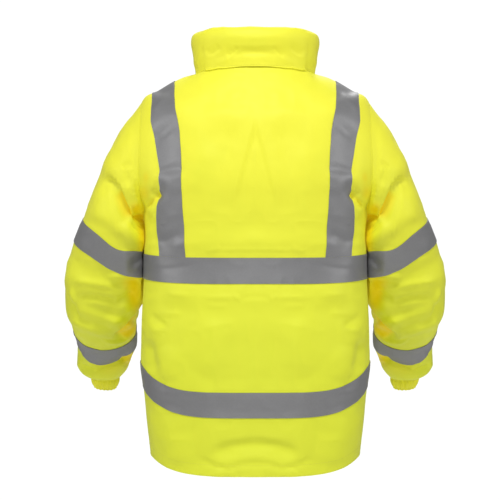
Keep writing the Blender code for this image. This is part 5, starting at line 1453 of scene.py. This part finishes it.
def zip_line():
    """Points, outward normals and tape reach along the centre front, from the hem to inside the slider."""
    rings = np.append(front_rings[:-1, 0], NECK - ZIP_NECK_STEP)
    points, normals = body_surface(math.pi, rings), normals_of(body_surface, math.pi, rings, NECK)
    rows = np.array(ZIP_COLLAR_ROWS)
    on_collar = collar_point(np.full_like(rows, math.pi), rows)
    slider = collar_point(np.array([math.pi]), np.array([SLIDER_ROW]))[0] * np.array([0, 1, 1])
    in_slider = [slider - UP * (SLIDER_HALF_LENGTH + ZIP_ENTRY),
                 slider + UP * (SLIDER_HALF_LENGTH - SLIDER_POST - SEAM_GAP)]
    points = np.concatenate([points, on_collar, in_slider])
    normals = np.concatenate([normals, np.tile([0, -1.0, 0], (len(points) - len(rings), 1))])
    points[:, 0], normals[:, 0] = 0, 0
    reach = np.full(len(points), FRONT_EDGE - SEAM_GAP)
    reach[:len(rings) - 1] = np.interp(rings, (TIP, TIP + 2), (ZIP_TAPE_REACH, ZIP_TAPE_REACH_TOP))[:-1]
    return points, unit(normals), reach


def spaced(points, values, pitch):
    """Points and values read at even steps along a line of points."""
    run = steps_along(points[None], 1)[0]
    at = np.arange(pitch / 2, run[-1], pitch)
    return [np.stack([np.interp(at, run, column) for column in table.T], -1) for table in (points, values)]


zip_points, zip_normals, zip_reach = zip_line()
print("zip:", round(float(steps_along(zip_points[None], 1)[0, -1]), 3), "m long")

# %% The zip's tapes
for side, sign in (("left", 1), ("right", -1)):
    near = CHAIN_WIDTH / 2 + CHAIN_GAP
    across = near + (zip_reach[:, None] - near) * np.linspace(0, 1, 9)
    grid = zip_points[:, None] + np.array([1.0, 0, 0]) * (sign * across)[..., None]
    outer, inner = (grid - zip_normals[:, None] * depth
                    for depth in (ZIP_TAPE_DEPTH, ZIP_TAPE_DEPTH + ZIP_TAPE_THICKNESS))
    piece = wear(cloth_wall(f"zip_tape_{side}_knit", ZIP_TAPE, outer, inner), f"zip_tape_{side}")
    declare_cut(piece, outer)

# %% The teeth
TOOTH_ROOT, TOOTH_HEAD = 0.0030, -0.0011            # from the centre line, on its own side and past it
TOOTH_ROOT_LENGTH, TOOTH_HEAD_LENGTH = 0.0022, 0.0017
TOOTH_THICKNESS, TOOTH_ROUNDING = 0.96 * CHAIN_THICKNESS, 0.00035
TOOTH_PITCH = 0.00155                               # from a tooth to the next on the other side

def one_tooth():
    """Corners and faces of a tooth on the wearer's left: a block with a narrower head over the centre."""
    shape = bmesh.new()
    bmesh.ops.create_cube(shape, size=1.0)
    for corner in shape.verts:
        side, along, thick = corner.co
        reach, length = (TOOTH_ROOT, TOOTH_ROOT_LENGTH) if side > 0 else (TOOTH_HEAD, TOOTH_HEAD_LENGTH)
        corner.co = reach, along * length, thick * TOOTH_THICKNESS
    bmesh.ops.bevel(shape, geom=shape.edges[:], offset=TOOTH_ROUNDING, segments=1, affect="EDGES")
    shape.verts.ensure_lookup_table()
    corners = np.array([corner.co for corner in shape.verts])
    faces = [[corner.index for corner in face.verts] for face in shape.faces]
    shape.free()
    return corners, faces


def joined(name, look, corners, faces, frames, places):
    """Copies of a small shape, one for each frame of three directions and place, as one object."""
    points = np.einsum("ck,nkx->ncx", corners, frames) + places[:, None]
    count = len(corners)
    every = [[k * count + corner for corner in face] for k in range(len(places)) for face in faces]
    mesh = bpy.data.meshes.new(name)
    mesh.from_pydata(points.reshape(-1, 3).tolist(), [], every)
    mesh.materials.append(look)
    mesh.update()
    return placed_object(name, mesh)


places, outward = spaced(zip_points, zip_normals, TOOTH_PITCH)
outward = unit(outward)
along = unit(np.gradient(places, axis=0))
hands = np.where(np.arange(len(places)) % 2 == 0, 1.0, -1.0)
frames = np.stack([hands[:, None] * np.array([1.0, 0, 0]), along, outward], axis=1)
places = places - outward * (CHAIN_DEPTH + CHAIN_THICKNESS / 2)
teeth = joined("zip_teeth", METAL, *one_tooth(), frames, places)
face_outwards(teeth.data)
wear(teeth, "zip_chain")
print("zip teeth:", len(places))

# %% [markdown]
# The slider and its pull tab are hard parts whose solids already have the right shape, so they keep them.
# They get a brushed metal, and a Bevel modifier rounds their edges a little, as handling does.

# %% The slider and its pull keep their solids
METAL_PARTS = ("zip_slider", "zip_pull")
for name in METAL_PARTS:
    solid = frame["nodes"][name]
    for place in solid.material_slots:
        place.material = METAL
    worn = solid.modifiers.new("worn_edges", "BEVEL")
    worn.width = 0.0003
    worn.segments = 2
    worn.limit_method = "ANGLE"
    worn.angle_limit = math.radians(35)
print("metal parts:", *METAL_PARTS)

# %% [markdown]
# ## Stitches
# A sewing machine leaves short raised stitches in a straight row, about 3 mm apart. Drawn as bump they would
# blur away, so each one is a small spindle, partly sunk in the cloth. The rows follow the edges of the tapes,
# the hem, the armholes and the fronts, where a maker sews, and all stitches of one piece are one object. Four
# sides are enough for a thread half a millimetre thick.

# %% A row of stitches
STITCH_PITCH, STITCH_LENGTH, STITCH_RADIUS = 0.0030, 0.0023, 0.00028
STITCH_RISE = 0.35          # how many radii a stitch's middle stands off the cloth
SPINDLE_RINGS = ((-0.5, 0.15), (-0.28, 0.85), (0.28, 0.85), (0.5, 0.15))    # shares of length and of radius
SPINDLE_SIDES = 4

def spindle():
    """Corners and faces of one stitch, along the second direction and standing up along the third."""
    corners, faces = [], []
    for along, size in SPINDLE_RINGS:
        for side in range(SPINDLE_SIDES):
            turned = 2 * math.pi * side / SPINDLE_SIDES
            corners.append((math.sin(turned) * size * STITCH_RADIUS, along * STITCH_LENGTH,
                            math.cos(turned) * size * STITCH_RADIUS))
    index = np.arange(len(corners)).reshape(len(SPINDLE_RINGS), SPINDLE_SIDES)
    for ring, above in zip(index, index[1:]):
        faces += np.stack([ring, np.roll(ring, -1), np.roll(above, -1), above], -1).tolist()
    faces += [index[0, ::-1].tolist(), index[-1].tolist()]
    return np.array(corners), faces


def seam_frames(line, normals):
    """Places and directions of the stitches along a line of points on cloth."""
    places, outward = spaced(line, normals, STITCH_PITCH)
    along = unit(np.gradient(places, axis=0))
    outward = unit(outward - along * np.sum(outward * along, -1, keepdims=True))
    frames = np.stack([np.cross(along, outward), along, outward], axis=1)
    return places + outward * STITCH_RADIUS * STITCH_RISE, frames


def sew(name, thread, rows):
    """One object with the stitches of every row, each row a line of points and its normals."""
    placed = [seam_frames(line, normals) for line, normals in rows]
    places, frames = (np.concatenate(part) for part in zip(*placed))
    piece = wear(joined(name, thread, *spindle(), frames, places))
    print(f"{name}: {len(places)} stitches")
    return piece


def rows_in_from_edge(grids, sides, inset, is_tube=False):
    """Lines that run beside a grid's edges, a fixed way in: low, high, first and last."""
    lines = []
    for side in sides:
        axis = 0 if side in ("low", "high") else 1
        turned = [np.moveaxis(grid, axis, 0) for grid in grids]
        if side in ("high", "last"):
            turned = [table[::-1] for table in turned]
        along = steps_along(turned[0], 0)
        below = np.clip((along < inset).sum(axis=0) - 1, 0, len(along) - 2)
        columns = np.arange(along.shape[1])
        gap = np.maximum(along[below + 1, columns] - along[below, columns], 1e-9)
        part = ((inset - along[below, columns]) / gap).clip(0, 1)[:, None]
        line = [table[below, columns] * (1 - part) + table[below + 1, columns] * part for table in turned]
        if is_tube:
            line = [np.concatenate([table, table[:1]]) for table in line]
        lines.append(line)
    return lines


# %% The stitches of the tapes
TAPE_INSET = 0.0022
tape_rows = {"back": [], "front_left": [], "front_right": [], "sleeve_left": [], "sleeve_right": []}
for name, grids in tape_grids.items():
    is_sleeve = name.startswith("sleeve")
    if is_sleeve:
        home = "sleeve_" + name.rsplit("_", 1)[1]
    else:
        home = "back" if "back" in name else "front_" + name.rsplit("_", 1)[1]
    sides = ("first", "last") if name.startswith("brace") else ("low", "high")
    tape_rows[home] += rows_in_from_edge(grids, sides, TAPE_INSET, is_sleeve)
for home, rows in tape_rows.items():
    sew(f"tape_stitches_{home}", GREY_THREAD, rows)

# %% The stitches of the cloth
HEM_INSETS, EDGE_INSET, ARMHOLE_INSET = (0.022, 0.0020), 0.0065, 0.0060
COLLAR_INSET, FLAP_INSET = 0.0035, 0.0030

for name, grids in body_grids.items():
    rows = []
    for inset in HEM_INSETS:
        rows += rows_in_from_edge(grids, ("low",), inset)
    above = [grid[ARMHOLE] for grid in grids]
    rows += rows_in_from_edge(above, ("first", "last") if name == "back" else ("last",), ARMHOLE_INSET)
    if name != "back":
        rows += rows_in_from_edge(grids, ("first",), EDGE_INSET)
    sew(f"stitches_{name}", YELLOW_THREAD, rows)

for side, outer in cuff_outers.items():
    normals = grid_normals(outer, is_tube=True)
    outwards = outer[CUFF_ROWS // 2, 0] - outer.mean(axis=(0, 1))
    normals = normals * np.sign(np.sum(normals[CUFF_ROWS // 2, 0] * outwards))
    rings = [round(share * (CUFF_ROWS - 1)) for share in CUFF_STITCH_ROWS]
    whole = [closed(grid, is_tube=True) for grid in (outer, normals)]
    sew(f"stitches_cuff_{side}", YELLOW_THREAD, [[grid[ring] for grid in whole] for ring in rings])

sew("stitches_collar", YELLOW_THREAD,
    rows_in_from_edge((collar_outer[OUTSIDE], collar_normals[OUTSIDE]), ("low",), COLLAR_INSET)
    + rows_in_from_edge((flap_outer, flap_normals), ("low",), FLAP_INSET))

# %% [markdown]
# ## Light, floor and camera
# Workwear is shown on white. The key light stands high on the side of the back, and it is fairly small, so
# that each crease has a lit flank and a shaded one: a wide light would wash them out. A second key does the
# same for the fronts. Two weak lights at the sides keep the sleeves from going dark, and a weak one behind
# the camera gives the tape something to reflect. The world fills the shadows and is kept dim for that, while
# the camera sees it pure white: a Light Path node tells the two apart. The floor is far below, because the
# jacket hangs in its worn shape with nobody in it.

# %% The floor
FLOOR_RADIUS, FLOOR_HEIGHT = 4.5, -1.75

floor_shape = bmesh.new()
bmesh.ops.create_circle(floor_shape, cap_ends=True, segments=96, radius=FLOOR_RADIUS)
floor_mesh = bpy.data.meshes.new("studio_floor")
floor_shape.to_mesh(floor_mesh)
floor_shape.free()
floor = placed_object("studio_floor", floor_mesh)
floor.location = (0, 0, FLOOR_HEIGHT)
pale = Finish("pale_floor", Roughness=0.9)
pale.paint(Base_Color=pale.mix(pale.noise(3.0), (0.86, 0.86, 0.86, 1), (0.90, 0.90, 0.90, 1)))
floor_mesh.materials.append(pale.material)
print("floor:", 2 * FLOOR_RADIUS, "m across")

# %% The white world
FILL, FILL_COLOUR = 0.31, (1.0, 0.99, 0.97, 1.0)       # the light that the jacket gets from all round
SEEN, SEEN_COLOUR = 1.05, (1.0, 1.0, 1.0, 1.0)         # the white that the camera sees

bpy.context.scene.view_settings.view_transform = "Standard"    # the lights set the tones, not a film curve
world = bpy.data.worlds.new("soft_white")
bpy.context.scene.world = world
world.use_nodes = True
sky = world.node_tree
fill, output = sky.nodes["Background"], sky.nodes["World Output"]
seen = sky.nodes.new("ShaderNodeBackground")
for background, colour, strength in ((fill, FILL_COLOUR, FILL), (seen, SEEN_COLOUR, SEEN)):
    background.inputs["Color"].default_value = colour
    background.inputs["Strength"].default_value = strength
ray = sky.nodes.new("ShaderNodeLightPath")
chosen = sky.nodes.new("ShaderNodeMixShader")
sky.links.new(ray.outputs["Is Camera Ray"], chosen.inputs[0])
sky.links.new(fill.outputs[0], chosen.inputs[1])
sky.links.new(seen.outputs[0], chosen.inputs[2])
sky.links.new(chosen.outputs[0], output.inputs["Surface"])
print("world: fill", FILL, "and seen", SEEN)

# %% The lights
Lamp = namedtuple("Lamp", "name place size watts")
LAMPS = (
    Lamp("key", (0.15, 2.2, 2.5), 0.6, 64),
    Lamp("front_key", (-0.3, -2.5, 2.3), 0.9, 60),
    Lamp("behind_camera", (0.0, 3.9, -0.45), 0.9, 12),
    Lamp("left_side", (2.6, 1.4, 0.5), 1.0, 15),
    Lamp("right_side", (-2.6, 1.4, 0.5), 1.0, 15),
)
LIT_POINT = Vector((0.0, 0.0, -0.35))       # the middle of the jacket, which every lamp faces

for lamp in LAMPS:
    light = bpy.data.lights.new(lamp.name, "AREA")
    light.shape = "DISK"
    light.size = lamp.size
    light.energy = lamp.watts
    stand = placed_object(lamp.name, light)
    stand.location = lamp.place
    stand.rotation_mode = "QUATERNION"
    stand.rotation_quaternion = (LIT_POINT - Vector(lamp.place)).to_track_quat("-Z", "Y")
print("lights:", *(lamp.name for lamp in LAMPS))

# %% The camera
LENS, SENSOR = 126.0, 36.0                  # a long lens from 3.5 m, so the picture has little perspective

camera_data = bpy.data.cameras.new("camera")
camera_data.lens = LENS
camera_data.sensor_width = SENSOR
camera = placed_object("camera", camera_data)
camera.location = (0.0105, 3.5, -0.356)
camera.rotation_euler = (QUARTER, 0, math.pi)
bpy.context.scene.camera = camera
print("camera at", tuple(round(c, 3) for c in camera.location))
